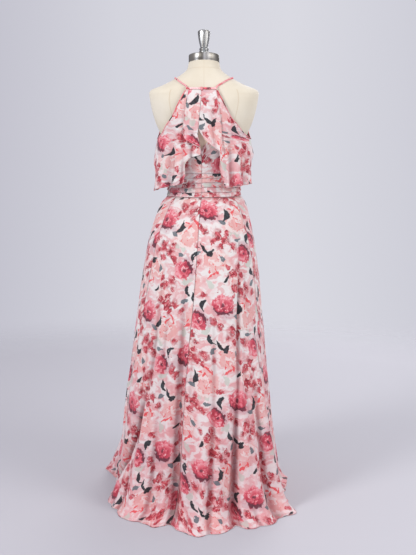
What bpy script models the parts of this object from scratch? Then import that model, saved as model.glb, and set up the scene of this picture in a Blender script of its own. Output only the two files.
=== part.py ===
"""Maxi dress with a popover bodice that parts in cascades at the back, on a
limbless dress form with a steel neck cap, a finial, a pole and a round base.

Metres, +Z up. The origin is the middle of the stand's underside, on the form's
axis. The back of the dress faces -Y, and +X is the wearer's right side.

A turn is an angle in degrees round the form's axis: 0 is the centre back, 90
the wearer's right side, 180 the centre front and -90 the left side. A reach is
the distance from the axis to a surface, at a turn and a height.
"""
import math
from collections import namedtuple

import bmesh
import bpy
import numpy as np
from mathutils import Vector
from mathutils.bvhtree import BVHTree

COLLECTION = "maxi_dress_on_form"

# ---------------------------------------------------------------- sizes
CLOTH = 0.0012             # wall of the bodice, the overlay and the waistband
SKIRT_CLOTH = 0.0015       # wall of the skirt, two layers of chiffon
SEAM = 0.0003              # gap between pieces that are sewn together
TURNED_IN = 0.0002         # more gap where the walls of two panels lean together
BODICE_EASE = 0.0055       # outer face of the under-bodice, off the form
LIP_EASE = 0.0092          # outer edge of each waistband pleat, off the form
ROOT_EASE = 0.0058         # and its root
PLEAT_WANDER = 0.0022      # how far the pleats stray from level
SKIRT_EASE = 0.0060        # nearest that the skirt comes to the form
OVERLAY_EASE = 0.0080      # nearest that the overlay comes to the form

WAIST_TOP = 1.186          # seam between under-bodice and waistband
WAIST_SEAM = 1.1015        # seam between waistband and skirt
HEM = 0.0019               # outer edge of the skirt, which lies on the floor
NECK_EDGE = 1.479          # top of the overlay at the back of the neck
BINDING_HEIGHT = 0.0065    # strip along the back of the neck
BINDING_THICK = 0.0030
STRIP_FOOT = NECK_EDGE + SEAM + BINDING_THICK / 4  # its low edge, which thickening lowers
EDGE_BINDING = 0.0017      # radius of the rolled armhole and neckline bindings
STRAP = 0.0026             # radius of the spaghetti straps
STRAP_CLEAR = 0.0014       # gap to the shoulder, less where a straight run crosses its curve
STRIP_TO_STRAP = 0.5       # turn from the end of the neck strip to the strap
FRONT_HEM = 1.128          # hem of the overlay at the centre front
SIDE_SEAM = 90.0           # turn of the side seams of bodice and overlay
WAIST_SIDE_SEAM = 86.0     # turn of the waistband's side seams
BACK_SKEW = -6.0           # turn by which the back of the bodice hangs to the left
NECK_GAP_LEFT = -0.0110    # x of the two ends of the back neck binding
NECK_GAP_RIGHT = -0.0055
PLEATS = 5                 # horizontal pleats in the waistband

CAP_RADIUS = 0.0545        # steel cap on the neck
CAP_HEIGHT = 0.028
NECK_TILT = 0.21           # slope of the neck's cuts, lower at the front
POLE_RADIUS = 0.016
BASE_RADIUS = 0.150
BASE_HEIGHT = 0.016

BUTTON_RADIUS = 0.0045
BUTTON_THICK = 0.0024      # half its thickness
LOOP_CORD = 0.0007         # radius of the button's loop
ZIP_TAPE = 0.0012
SLIDER = (0.0024, 0.0011, 0.0075)  # half sizes of the zip's slider

FORM_REACH = 0.10          # about how far the bodice's seams are from the axis
SIDE_REACH = 0.17          # and the overlay's side seams
CASCADE_LIFT = 0.0045      # how far the foot of a cascade stands off the overlay
CASCADE_RIPPLE = 0.006     # depth of the ripple at its foot

TORSO_COLUMNS = 28
SKIRT_ROWS = 17
SKIRT_BACK_COLUMNS = 18
SKIRT_FRONT_COLUMNS = 34
OVERLAY_BACK_COLUMNS = 10
ARMHOLE_COLUMNS = 6        # of the overlay's front, below each armhole
NECKLINE_COLUMNS = 14      # and below its neckline
OVERLAY_FRONT_ROWS = 7
BODICE_ROWS = 5
CASCADE_ROWS = 9
CASCADE_COLUMNS = 7
STRAP_POINTS = 26

# ---------------------------------------------------------------- tables
# Sections of the form. shift moves the section forwards, tilt slopes it.
Form = namedtuple("Form", "z side back front square shift tilt")
FORM = [
    Form(0.860, 0.158, 0.112, 0.094, 2.2, 0.0, 0.0),
    Form(0.920, 0.165, 0.118, 0.098, 2.2, 0.0, 0.0),
    Form(0.980, 0.158, 0.110, 0.095, 2.2, 0.0, 0.0),
    Form(1.050, 0.140, 0.094, 0.088, 2.1, 0.0, 0.0),
    Form(1.110, 0.125, 0.085, 0.084, 2.1, 0.0, 0.0),
    Form(1.160, 0.126, 0.085, 0.087, 2.1, 0.0, 0.0),
    Form(1.220, 0.135, 0.091, 0.097, 2.2, 0.0, 0.0),
    Form(1.280, 0.145, 0.099, 0.106, 2.3, 0.0, 0.0),
    Form(1.320, 0.155, 0.104, 0.105, 2.4, 0.0, 0.0),
    Form(1.360, 0.172, 0.107, 0.100, 2.6, 0.0, 0.0),
    Form(1.400, 0.184, 0.107, 0.092, 2.8, 0.0, 0.0),
    Form(1.440, 0.192, 0.103, 0.082, 3.0, 0.0, 0.0),
    Form(1.465, 0.195, 0.096, 0.073, 3.0, 0.0, 0.0),
    Form(1.477, 0.187, 0.092, 0.069, 2.9, 0.0, 0.0),
    Form(1.490, 0.154, 0.088, 0.064, 2.6, 0.0, 0.02),
    Form(1.507, 0.118, 0.081, 0.060, 2.4, 0.0, 0.06),
    Form(1.525, 0.087, 0.072, 0.057, 2.2, 0.0, 0.12),
    Form(1.538, 0.069, 0.065, 0.056, 2.1, 0.002, 0.17),
    Form(1.548, 0.0605, 0.060, 0.055, 2.0, 0.005, 0.20),
    Form(1.560, 0.0570, 0.057, 0.055, 2.0, 0.009, NECK_TILT),
    Form(1.573, 0.0545, 0.0545, 0.0545, 2.0, 0.012, NECK_TILT),
]
BUST = dict(turn=142.0, z=1.295, swell=0.020, wide=23.0, tall=0.050)

# Sections of hanging cloth: how far it stands from the axis on four sides.
Section = namedtuple("Section", "z left right back front square")
SKIRT = [
    Section(0.000, 0.345, 0.310, 0.458, 0.332, 2.8),
    Section(0.020, 0.335, 0.290, 0.412, 0.312, 2.7),
    Section(0.050, 0.328, 0.277, 0.386, 0.299, 2.6),
    Section(0.100, 0.319, 0.268, 0.366, 0.289, 2.5),
    Section(0.160, 0.308, 0.260, 0.349, 0.279, 2.4),
    Section(0.250, 0.296, 0.250, 0.328, 0.267, 2.4),
    Section(0.360, 0.287, 0.240, 0.302, 0.252, 2.3),
    Section(0.450, 0.276, 0.231, 0.281, 0.237, 2.3),
    Section(0.560, 0.261, 0.221, 0.255, 0.219, 2.2),
    Section(0.680, 0.245, 0.209, 0.228, 0.199, 2.2),
    Section(0.800, 0.228, 0.201, 0.201, 0.178, 2.2),
    Section(0.890, 0.212, 0.190, 0.180, 0.160, 2.2),
    Section(0.955, 0.198, 0.179, 0.162, 0.145, 2.2),
    Section(1.020, 0.177, 0.165, 0.139, 0.124, 2.2),
    Section(1.075, 0.154, 0.150, 0.113, 0.105, 2.1),
    Section(1.102, 0.132, 0.133, 0.094, 0.092, 2.1),
]
OVERLAY = [
    Section(1.115, 0.180, 0.173, 0.138, 0.143, 2.2),
    Section(1.150, 0.177, 0.169, 0.134, 0.145, 2.2),
    Section(1.185, 0.176, 0.167, 0.131, 0.148, 2.2),
    Section(1.220, 0.178, 0.170, 0.128, 0.151, 2.2),
    Section(1.250, 0.176, 0.177, 0.125, 0.152, 2.2),
    Section(1.280, 0.172, 0.171, 0.122, 0.149, 2.3),
    Section(1.300, 0.168, 0.168, 0.119, 0.143, 2.3),
    Section(1.330, 0.165, 0.165, 0.115, 0.132, 2.4),
    Section(1.400, 0.180, 0.180, 0.108, 0.105, 2.6),
    Section(1.480, 0.180, 0.180, 0.096, 0.080, 2.8),
]

# Folds: a positive depth stands out and a negative one runs in. Each starts
# at a height, grows to its depth at the hem, and wanders from one turn to the
# other, late on its way where bend is high and early where it is low.
Fold = namedtuple("Fold", "top turn_top turn_hem bend depth width")
SKIRT_FOLDS = [
    Fold(0.60, -2.0, -2.0, 1.0, 0.036, 7.5),
    Fold(0.95, -20.0, -16.6, 1.0, -0.052, 4.2),
    Fold(0.70, -34.0, -27.0, 1.0, -0.026, 8.0),
    Fold(1.00, 58.0, 15.3, 0.5, -0.034, 4.6),
    Fold(0.90, 20.0, 33.0, 1.0, 0.020, 8.0),
    Fold(0.80, 44.0, 49.5, 1.0, 0.052, 6.0),
    Fold(0.95, 62.0, 71.0, 1.0, -0.020, 6.0),
    Fold(0.90, 84.0, 97.0, 1.0, 0.010, 8.0),
    Fold(0.82, -40.0, -87.0, 4.0, -0.036, 6.0),
    Fold(0.60, -56.0, -66.0, 1.0, 0.012, 9.0),
    Fold(0.34, -108.0, -115.0, 1.0, 0.062, 7.0),
    Fold(0.95, 116.0, 127.0, 1.0, -0.022, 7.0),
    Fold(0.85, 134.0, 140.0, 1.0, 0.026, 8.5),
    Fold(0.90, 155.0, 159.0, 1.0, -0.024, 8.0),
    Fold(0.80, 176.0, 178.0, 1.0, 0.028, 9.0),
    Fold(0.95, 198.0, 200.0, 1.0, -0.026, 8.0),
    Fold(0.80, 218.0, 220.0, 1.0, 0.024, 8.0),
    Fold(0.90, 238.0, 232.0, 1.0, -0.020, 6.0),
]
OVERLAY_FOLDS = [
    Fold(1.44, -40.0, -39.0, 1.0, 0.010, 5.0),
    Fold(1.42, -50.0, -53.0, 1.0, -0.008, 6.0),
    Fold(1.34, -66.0, -70.0, 1.0, 0.007, 7.0),
    Fold(1.42, 40.0, 41.0, 1.0, -0.009, 4.0),
    Fold(1.44, 50.0, 51.0, 1.0, 0.010, 5.0),
    Fold(1.38, 62.0, 64.0, 1.0, -0.007, 6.0),
    Fold(1.30, 76.0, 78.0, 1.0, 0.007, 7.0),
    Fold(1.28, 100.0, 102.0, 1.0, -0.008, 8.0),
    Fold(1.36, 118.0, 120.0, 1.0, 0.009, 8.0),
    Fold(1.38, 138.0, 139.0, 1.0, -0.007, 8.0),
    Fold(1.36, 158.0, 157.0, 1.0, 0.008, 8.0),
    Fold(1.35, 180.0, 177.0, 1.0, -0.007, 8.0),
    Fold(1.36, 200.0, 201.0, 1.0, 0.008, 8.0),
    Fold(1.38, 221.0, 220.0, 1.0, -0.007, 8.0),
    Fold(1.36, 240.0, 239.0, 1.0, 0.009, 8.0),
    Fold(1.28, 259.0, 258.0, 1.0, -0.008, 8.0),
]

# The armhole's edge, from the back of the neck under the arm to the front
# strap, by its turn from the dress's own centre back.
Edge = namedtuple("Edge", "turn z")
ARMHOLE = [
    Edge(28.0, 1.479), Edge(35.5, 1.430), Edge(44.0, 1.384), Edge(55.0, 1.349),
    Edge(66.0, 1.322), Edge(79.0, 1.306), Edge(90.0, 1.301), Edge(98.0, 1.306),
    Edge(108.0, 1.332), Edge(118.0, 1.382), Edge(128.0, 1.437),
]
# The front neckline, which goes on from the last point of the armhole.
NECKLINE = [
    Edge(138.0, 1.412), Edge(150.0, 1.388), Edge(165.0, 1.372),
    Edge(180.0, 1.367),
]
BODICE_TOP = [
    Edge(0.0, 1.271), Edge(2.5, 1.278), Edge(5.0, 1.284), Edge(12.0, 1.299),
    Edge(30.0, 1.317), Edge(50.0, 1.317), Edge(66.0, 1.309), Edge(80.0, 1.296),
    Edge(90.0, 1.291), Edge(98.0, 1.295), Edge(108.0, 1.315), Edge(118.0, 1.338),
    Edge(130.0, 1.350), Edge(150.0, 1.345), Edge(180.0, 1.340),
]
STRAP_PATH = [
    Edge(33.5, 1.4900), Edge(40.0, 1.4955), Edge(50.0, 1.5035), Edge(65.0, 1.5115),
    Edge(90.0, 1.5165), Edge(106.0, 1.5115), Edge(116.0, 1.4995),
    Edge(121.0, 1.4875), Edge(126.0, 1.4680), Edge(127.6, 1.4520),
]

# Rows of the back overlay: its inner edge, by x and height, and its outer edge,
# which is the armhole and then the side seam.
Row = namedtuple("Row", "step inner_x inner_z outer_turn outer_z")
OVERLAY_BACK = {
    "left": [
        Row(0, -0.0095, 1.479, 28.0, 1.479), Row(1, -0.0122, 1.430, 35.5, 1.430),
        Row(2, -0.0165, 1.385, 44.0, 1.384), Row(3, -0.0200, 1.352, 55.0, 1.349),
        Row(4, -0.0215, 1.322, 66.0, 1.322), Row(5, -0.0170, 1.298, 79.0, 1.306),
        Row(6, -0.0125, 1.275, 90.0, 1.301), Row(7, -0.0115, 1.255, 90.0, 1.272),
        Row(8, -0.048, 1.243, 90.0, 1.238), Row(9, -0.068, 1.215, 90.0, 1.200),
        Row(10, -0.066, 1.181, 90.0, 1.160), Row(11, -0.074, 1.154, 90.0, 1.117),
    ],
    "right": [
        Row(0, -0.0080, 1.479, 28.0, 1.479), Row(1, -0.0107, 1.430, 35.5, 1.430),
        Row(2, -0.0150, 1.385, 44.0, 1.384), Row(3, -0.0175, 1.354, 55.0, 1.349),
        Row(4, -0.006, 1.332, 66.0, 1.322), Row(5, 0.012, 1.313, 79.0, 1.306),
        Row(6, 0.032, 1.297, 90.0, 1.301), Row(7, 0.050, 1.280, 90.0, 1.272),
        Row(8, 0.056, 1.255, 90.0, 1.240), Row(9, 0.056, 1.215, 90.0, 1.210),
        Row(10, 0.062, 1.175, 90.0, 1.178), Row(11, 0.074, 1.140, 90.0, 1.148),
    ],
}
# Rows of the cascades: both edges by x and height.
Flap = namedtuple("Flap", "step left_x left_z right_x right_z")
CASCADE = {
    "left": [
        Flap(0, -0.055, 1.4785, -0.0095, 1.4785), Flap(1, -0.062, 1.430, -0.0120, 1.430),
        Flap(2, -0.070, 1.388, -0.0160, 1.388), Flap(3, -0.073, 1.352, -0.0190, 1.352),
        Flap(4, -0.074, 1.328, -0.0210, 1.325), Flap(5, -0.068, 1.311, -0.0165, 1.302),
        Flap(6, -0.040, 1.293, -0.0140, 1.280),
    ],
    "right": [
        Flap(0, -0.0085, 1.4785, 0.042, 1.4765), Flap(1, -0.0110, 1.430, 0.050, 1.430),
        Flap(2, -0.0150, 1.386, 0.057, 1.386), Flap(3, -0.0180, 1.352, 0.061, 1.350),
        Flap(4, -0.0145, 1.336, 0.062, 1.318), Flap(5, 0.0005, 1.312, 0.062, 1.290),
        Flap(6, 0.024, 1.290, 0.060, 1.266),
    ],
}
# Seams of the skirt, by height: the turn of the centre back and of each side.
Seams = namedtuple("Seams", "z centre left right")
SKIRT_SEAMS = [
    Seams(0.00, -16.7, -74.0, 72.0), Seams(0.27, -14.8, -70.0, 70.0),
    Seams(0.60, -12.2, -65.0, 66.0), Seams(0.75, -9.8, -62.0, 63.0),
    Seams(0.97, -7.3, -59.0, 61.0), Seams(1.076, -6.5, -58.0, 60.0),
    Seams(1.102, -5.2, -58.0, 60.0),
]

# Turned profiles, from the top down, as radius and height.
FINIAL = [
    (0.0000, 0.0905), (0.0120, 0.0895), (0.0195, 0.0865), (0.0222, 0.0820), (0.0222, 0.0770),
    (0.0185, 0.0520), (0.0150, 0.0300), (0.0128, 0.0190), (0.0135, 0.0155),
    (0.0172, 0.0115), (0.0178, 0.0075), (0.0155, 0.0035), (0.0150, 0.0000), (0.0000, 0.0000),
]
CAP_PROFILE = [
    (0.0, CAP_HEIGHT), (CAP_RADIUS - 0.003, CAP_HEIGHT), (CAP_RADIUS - 0.0008, CAP_HEIGHT - 0.0008),
    (CAP_RADIUS, CAP_HEIGHT - 0.003), (CAP_RADIUS, 0.0), (0.0, 0.0),
]
BASE_PROFILE = [
    (0.0, BASE_HEIGHT), (0.040, BASE_HEIGHT), (BASE_RADIUS - 0.012, 0.0100),
    (BASE_RADIUS - 0.003, 0.0080), (BASE_RADIUS, 0.0050), (BASE_RADIUS, 0.0), (0.0, 0.0),
]

# name: colour, roughness, metallic
FINISHES = {
    "chiffon": ((0.86, 0.62, 0.65), 0.80, 0.0),
    "binding": ((0.80, 0.42, 0.46), 0.75, 0.0),
    "linen": ((0.84, 0.78, 0.67), 0.90, 0.0),
    "steel": ((0.55, 0.55, 0.55), 0.30, 1.0),
    "zip": ((0.82, 0.70, 0.70), 0.60, 0.0),
}


# ---------------------------------------------------------------- curves
def column(table, name, at):
    """A column of a table at any key: a smooth curve through its rows."""
    keys = np.array([row[0] for row in table], float)
    values = np.array([getattr(row, name) for row in table], float)
    at = np.clip(np.asarray(at, float), keys[0], keys[-1])
    chords = np.diff(values) / np.diff(keys)
    before, after = chords[:-1], chords[1:]
    inner = np.where(before * after > 0, 2 * before * after / (before + after + 1e-30), 0.0)
    slopes = np.concatenate(([chords[0]], inner, [chords[-1]]))
    low = np.clip(np.searchsorted(keys, at) - 1, 0, len(keys) - 2)
    span = keys[low + 1] - keys[low]
    t = (at - keys[low]) / span
    return (values[low] * (1 + 2 * t) * (1 - t) ** 2
            + values[low + 1] * t * t * (3 - 2 * t)
            + span * slopes[low] * t * (1 - t) ** 2
            - span * slopes[low + 1] * t * t * (1 - t))


def oval(turn, left, right, back, front, square):
    """Reach of a rounded section whose four sides have their own sizes."""
    sine, cosine = np.sin(np.radians(turn)), np.cos(np.radians(turn))
    wide = np.abs(sine) / np.where(sine > 0, right, left)
    deep = np.abs(cosine) / np.where(cosine > 0, back, front)
    return (wide ** square + deep ** square) ** (-1 / square)


def bump(turn, middle, width):
    """1 at a turn, fading to 0 within about twice a width of it."""
    off = (np.asarray(turn) - middle + 180.0) % 360.0 - 180.0
    return np.exp(-(off / width) ** 2)


def larger(one, other, blend=0.004):
    """The larger of two reaches, rounded where they meet."""
    return (one + other + np.sqrt((one - other) ** 2 + blend ** 2)) / 2


def folds(table, turn, z, hem):
    """What the folds of a table add to a reach."""
    total = 0.0
    for fold in table:
        down = np.clip((fold.top - z) / (fold.top - hem), 0.0, 1.0)
        middle = fold.turn_top + (fold.turn_hem - fold.turn_top) * down ** fold.bend
        total = total + fold.depth * down ** 1.3 * bump(turn, middle, fold.width)
    return total


# ---------------------------------------------------------------- surfaces
def form_reach(turn, z):
    side = column(FORM, "side", z)
    reach = oval(turn, side, side, column(FORM, "back", z), column(FORM, "front", z),
                 column(FORM, "square", z))
    tall = np.exp(-((z - BUST["z"]) / BUST["tall"]) ** 2)
    both = bump(turn, BUST["turn"], BUST["wide"]) + bump(turn, -BUST["turn"], BUST["wide"])
    return reach + BUST["swell"] * tall * both


def section_reach(table, turn, z):
    sides = [column(table, name, z) for name in ("left", "right", "back", "front", "square")]
    return oval(turn, *sides)


def bodice_reach(turn, z):
    return form_reach(turn, z) + BODICE_EASE


def skirt_reach(turn, z):
    hanging = section_reach(SKIRT, turn, z) + folds(SKIRT_FOLDS, turn, z, 0.0)
    hanging = larger(hanging, form_reach(turn, z) + SKIRT_EASE)
    sewn = np.clip((z - WAIST_SEAM + 0.02) / 0.02, 0.0, 1.0) ** 2
    return hanging * (1 - sewn) + waistband_reach(turn, WAIST_SEAM) * sewn


def overlay_reach(turn, z):
    hanging = section_reach(OVERLAY, turn, z) + folds(OVERLAY_FOLDS, turn, z, 1.12)
    return larger(hanging, form_reach(turn, z) + OVERLAY_EASE)


def waistband_reach(turn, z):
    """Pleats that overlap downwards, each a little uneven round the waist."""
    wander = PLEAT_WANDER * np.sin(np.radians(3 * np.asarray(turn) + 40)) * np.sin(
        math.pi * (z - WAIST_SEAM) / (WAIST_TOP - WAIST_SEAM))
    place = (WAIST_TOP - z + wander) / (WAIST_TOP - WAIST_SEAM) * PLEATS
    part = np.clip(place - np.floor(place), 0.0, 1.0)
    lip = np.where(part < 0.8, part / 0.8, (1 - part) / 0.2)
    return form_reach(turn, z) + ROOT_EASE + (LIP_EASE - ROOT_EASE) * lip


def points(reach, turn, z):
    """Points of a surface at turns and heights, as an array of x, y, z."""
    turn, z = np.broadcast_arrays(np.asarray(turn, float), np.asarray(z, float))
    far = reach(turn, z)
    angle = np.radians(turn)
    return np.stack([far * np.sin(angle), -far * np.cos(angle), z], axis=-1)


def turn_at(reach, x, z):
    """The turn at the back where a surface has a given x."""
    low, high = -89.0, 89.0
    for _ in range(40):
        middle = (low + high) / 2
        if float(reach(middle, z)) * math.sin(math.radians(middle)) < x:
            low = middle
        else:
            high = middle
    return (low + high) / 2


def skewed(turn):
    """A turn on the dress as a turn round the form: its back hangs to the left."""
    turn = np.asarray(turn, float)
    return turn + BACK_SKEW * np.clip(1 - np.abs(turn) / 90.0, 0.0, 1.0)


# ---------------------------------------------------------------- making
def finish(name):
    """The material of this name, made when it is first asked for."""
    if name in bpy.data.materials:
        return bpy.data.materials[name]
    colour, roughness, metallic = FINISHES[name]
    material = bpy.data.materials.new(name)
    material.use_nodes = True
    shader = material.node_tree.nodes["Principled BSDF"]
    shader.inputs["Base Color"].default_value = (*colour, 1.0)
    shader.inputs["Roughness"].default_value = roughness
    shader.inputs["Metallic"].default_value = metallic
    return material


def add_object(name, mesh, material, smooth=True):
    made = bpy.data.objects.new(name, mesh)
    bpy.data.collections[COLLECTION].objects.link(made)
    mesh.materials.append(finish(material))
    if smooth:
        mesh.shade_smooth()
    return made


def mesh_of(name, vertices, faces):
    mesh = bpy.data.meshes.new(name)
    mesh.from_pydata([tuple(map(float, point)) for point in vertices], [], faces)
    mesh.update()
    return mesh


def cloth(name, grid, thickness=CLOTH, material="chiffon"):
    """A wall of cloth: an open sheet through a grid of points, thickened inwards.

    Rows run down the cloth and columns run towards growing turns.
    """
    rows, columns = grid.shape[:2]
    faces = []
    for row in range(rows - 1):
        for place in range(columns - 1):
            corner = row * columns + place
            faces.append((corner, corner + columns, corner + columns + 1, corner + 1))
    made = add_object(name, mesh_of(name, grid.reshape(-1, 3), faces), material)
    wall = made.modifiers.new("wall", "SOLIDIFY")
    wall.thickness = thickness
    wall.offset = -1.0
    return made


def tube(name, path, radius, material="binding", sides=6):
    """A rolled binding or cord along a path of points."""
    curve = bpy.data.curves.new(name, "CURVE")
    curve.dimensions = "3D"
    curve.bevel_depth = radius
    curve.bevel_resolution = sides // 2 - 2
    curve.use_fill_caps = True
    spline = curve.splines.new("POLY")
    spline.points.add(len(path) - 1)
    for spot, point in zip(spline.points, path):
        spot.co = (*map(float, point), 1.0)
    made = bpy.data.objects.new(name, curve)
    bpy.data.collections[COLLECTION].objects.link(made)
    curve.materials.append(finish(material))
    return made


def turned(name, profile, material, steps=28):
    """A round piece: a profile of radii and heights turned about Z."""
    vertices = [(radius, 0.0, height) for radius, height in profile]
    mesh = bpy.data.meshes.new(name)
    mesh.from_pydata(vertices, [(i, i + 1) for i in range(len(vertices) - 1)], [])
    made = add_object(name, mesh, material)
    screw = made.modifiers.new("turn", "SCREW")
    screw.steps = steps
    screw.render_steps = steps
    screw.use_merge_vertices = True
    screw.merge_threshold = 0.00001
    return made


# ---------------------------------------------------------------- dress form
def form_torso():
    """The stuffed torso and neck: sections joined from the hip to the neck's cut."""
    around = TORSO_COLUMNS
    turns = np.arange(around) * 360.0 / around
    vertices = []
    for z in [row.z for row in FORM]:
        ring = points(form_reach, turns, z)
        ring[:, 1] += float(column(FORM, "shift", z))
        ring[:, 2] -= float(column(FORM, "tilt", z)) * ring[:, 1]
        vertices.extend(ring)
    rings = len(FORM)
    faces = [tuple(reversed(range(around)))]
    for ring in range(rings - 1):
        for place in range(around):
            here, following = ring * around + place, ring * around + (place + 1) % around
            faces.append((here, following, following + around, here + around))
    faces.append(tuple(range((rings - 1) * around, rings * around)))
    add_object("form_torso", mesh_of("form_torso", vertices, faces), "linen")


def neck_hardware():
    """The steel cap and the finial, square to the neck's sloping cut."""
    top = FORM[-1]
    lean = -math.atan(NECK_TILT)
    along = (0.0, -math.sin(lean), math.cos(lean))
    seat = np.array([0.0, top.shift, top.z - NECK_TILT * top.shift])
    cap = turned("neck_cap", CAP_PROFILE, "steel", steps=28)
    knob = turned("finial", FINIAL, "steel", steps=16)
    for made, above in ((cap, SEAM), (knob, CAP_HEIGHT + 2 * SEAM)):
        made.location = seat + above * np.array(along)
        made.rotation_euler.x = lean


def stand():
    """The pole under the torso and the round base on the floor."""
    turned("stand_base", BASE_PROFILE, "steel", steps=28)
    foot, head = BASE_HEIGHT + SEAM, FORM[0].z - SEAM
    profile = [(0.0, head), (POLE_RADIUS, head), (POLE_RADIUS, foot), (0.0, foot)]
    turned("stand_pole", profile, "steel", steps=14)


# ---------------------------------------------------------------- dress
def seam_angle(radius):
    """Half a seam's gap, as a turn at a distance from the axis."""
    return math.degrees((SEAM + TURNED_IN) / 2 / radius)


def skirt_panel(name, columns, start, end):
    """A panel of the skirt between two seams, from the waist to the floor."""
    fall = 1 - np.linspace(0.0, 1.0, SKIRT_ROWS)
    heights = HEM + (WAIST_SEAM - SEAM - HEM) * fall ** 1.5
    across = np.linspace(0.0, 1.0, columns + 1)
    rows = []
    for z in heights:
        gap = seam_angle(float(skirt_reach(0.0, z)) * 0.7)
        first, last = start(z) + gap, end(z) - gap
        rows.append(points(skirt_reach, first + (last - first) * across, z))
    cloth(name, np.array(rows), SKIRT_CLOTH)


def skirt():
    def seam(name):
        return lambda z: float(column(SKIRT_SEAMS, name, z))
    skirt_panel("skirt_back_left", SKIRT_BACK_COLUMNS, seam("left"), seam("centre"))
    skirt_panel("skirt_back_right", SKIRT_BACK_COLUMNS, seam("centre"), seam("right"))
    skirt_panel("skirt_front", SKIRT_FRONT_COLUMNS, seam("right"), lambda z: seam("left")(z) + 360)


def waistband():
    """Three pieces round the waist with horizontal pleats."""
    share = [0.0]
    for pleat in range(PLEATS):
        share += [(pleat + 0.8) / PLEATS, (pleat + 1.0) / PLEATS]
    heights = WAIST_TOP - SEAM - (WAIST_TOP - WAIST_SEAM - SEAM) * np.array(share)
    back = float(skewed(0.0)) + 1.0
    spans = [
        ("waistband_back_left", -WAIST_SIDE_SEAM, back, 8),
        ("waistband_back_right", back, WAIST_SIDE_SEAM, 9),
        ("waistband_front", WAIST_SIDE_SEAM, 360.0 - WAIST_SIDE_SEAM, 16),
    ]
    gap = seam_angle(FORM_REACH)
    for name, start, end, columns in spans:
        turns = np.linspace(start + gap, end - gap, columns + 1)
        cloth(name, points(waistband_reach, turns[None, :], heights[:, None]))


def bodice():
    """The fitted under-bodice, from the keyhole and the armholes to the waistband."""
    centre = float(skewed(0.0)) + 1.0
    gap = seam_angle(FORM_REACH)
    spans = [
        ("bodice_back_left", -SIDE_SEAM, centre, 9),
        ("bodice_back_right", centre, SIDE_SEAM, 9),
        ("bodice_front", SIDE_SEAM, 360.0 - SIDE_SEAM, 22),
    ]
    for name, start, end, columns in spans:
        # Columns crowd towards the centre back, where the top edge climbs.
        share = np.linspace(0.0, 1.0, columns + 1)
        if name == "bodice_back_left":
            share = 1 - (1 - share) ** 1.6
        elif name == "bodice_back_right":
            share = share ** 1.6
        turns = start + gap + (end - start - 2 * gap) * share
        apart = np.abs((turns - centre + 180) % 360 - 180)
        tops = column(BODICE_TOP, "z", apart)
        down = np.linspace(0.0, 1.0, BODICE_ROWS + 1)[:, None]
        heights = tops[None, :] + (WAIST_TOP - tops[None, :]) * down
        cloth(name, points(bodice_reach, np.broadcast_to(turns, heights.shape), heights))


def overlay_back_grid(side):
    """Points of a back panel of the overlay, a row for each row of its table.

    Its columns run from the inner edge to the armhole and the side seam.
    """
    table = OVERLAY_BACK[side]
    sign = -1 if side == "left" else 1
    share = np.linspace(0.0, 1.0, OVERLAY_BACK_COLUMNS + 1)
    grid = []
    for row in table:
        inner = turn_at(overlay_reach, row.inner_x, row.inner_z)
        outer = float(skewed(sign * row.outer_turn)) - sign * seam_angle(SIDE_REACH)
        turns = inner + (outer - inner) * share
        heights = row.inner_z + (row.outer_z - row.inner_z) * share
        grid.append(points(overlay_reach, turns, heights))
    return np.array(grid)


def overlay_front_grid():
    """Points of the overlay's front: armholes, a scooped neckline and a free hem."""
    corner = ARMHOLE[-1].turn
    rise = np.linspace(SIDE_SEAM + seam_angle(SIDE_REACH), corner, ARMHOLE_COLUMNS + 1)
    neck = np.linspace(corner, 360.0 - corner, NECKLINE_COLUMNS + 1)[1:-1]
    turns = np.concatenate([rise, neck, 360.0 - rise[::-1]])
    from_centre = np.where(turns <= 180, turns, 360 - turns)
    edge = [row for row in ARMHOLE if row.turn >= SIDE_SEAM] + NECKLINE
    tops = column(edge, "z", from_centre)
    hem_at_side = np.where(turns <= 180, OVERLAY_BACK["right"][-1].outer_z,
                           OVERLAY_BACK["left"][-1].outer_z)
    hems = FRONT_HEM + (hem_at_side - FRONT_HEM) * np.abs(turns - 180) / 90
    down = np.linspace(0.0, 1.0, OVERLAY_FRONT_ROWS + 1)[:, None]
    heights = tops[None, :] + (hems - tops)[None, :] * down
    return points(overlay_reach, np.broadcast_to(turns, heights.shape), heights)


def overlay():
    for side in ("left", "right"):
        grid = overlay_back_grid(side)
        cloth("overlay_back_" + side, grid if side == "right" else grid[:, ::-1])
    cloth("overlay_front", overlay_front_grid())


def cascade(side):
    """A flap beside the centre-back opening, which lies on the overlay and ripples."""
    table = CASCADE[side]
    ripple_turn = -24.0 if side == "left" else 10.0
    grid = []
    for step in np.linspace(0, table[-1].step, CASCADE_ROWS + 1):
        down = step / table[-1].step

        def flap_reach(turn, z):
            lift = CLOTH + SEAM + CASCADE_LIFT * down
            ripple = CASCADE_RIPPLE * down ** 2 * bump(turn, ripple_turn, 7.0)
            return overlay_reach(turn, z) + lift + ripple

        ends = []
        for edge in ("left", "right"):
            z = float(column(table, edge + "_z", step))
            ends.append((turn_at(flap_reach, float(column(table, edge + "_x", step)), z), z))
        share = np.linspace(0.0, 1.0, CASCADE_COLUMNS + 1)
        (first, first_z), (last, last_z) = ends
        grid.append(points(flap_reach, first + (last - first) * share,
                           first_z + (last_z - first_z) * share))
    cloth("cascade_" + side, np.array(grid))


def strip_reach(turn, z):
    """The outer face of the strip along the back of the neck."""
    return overlay_reach(turn, z) + BINDING_THICK - CLOTH


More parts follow.
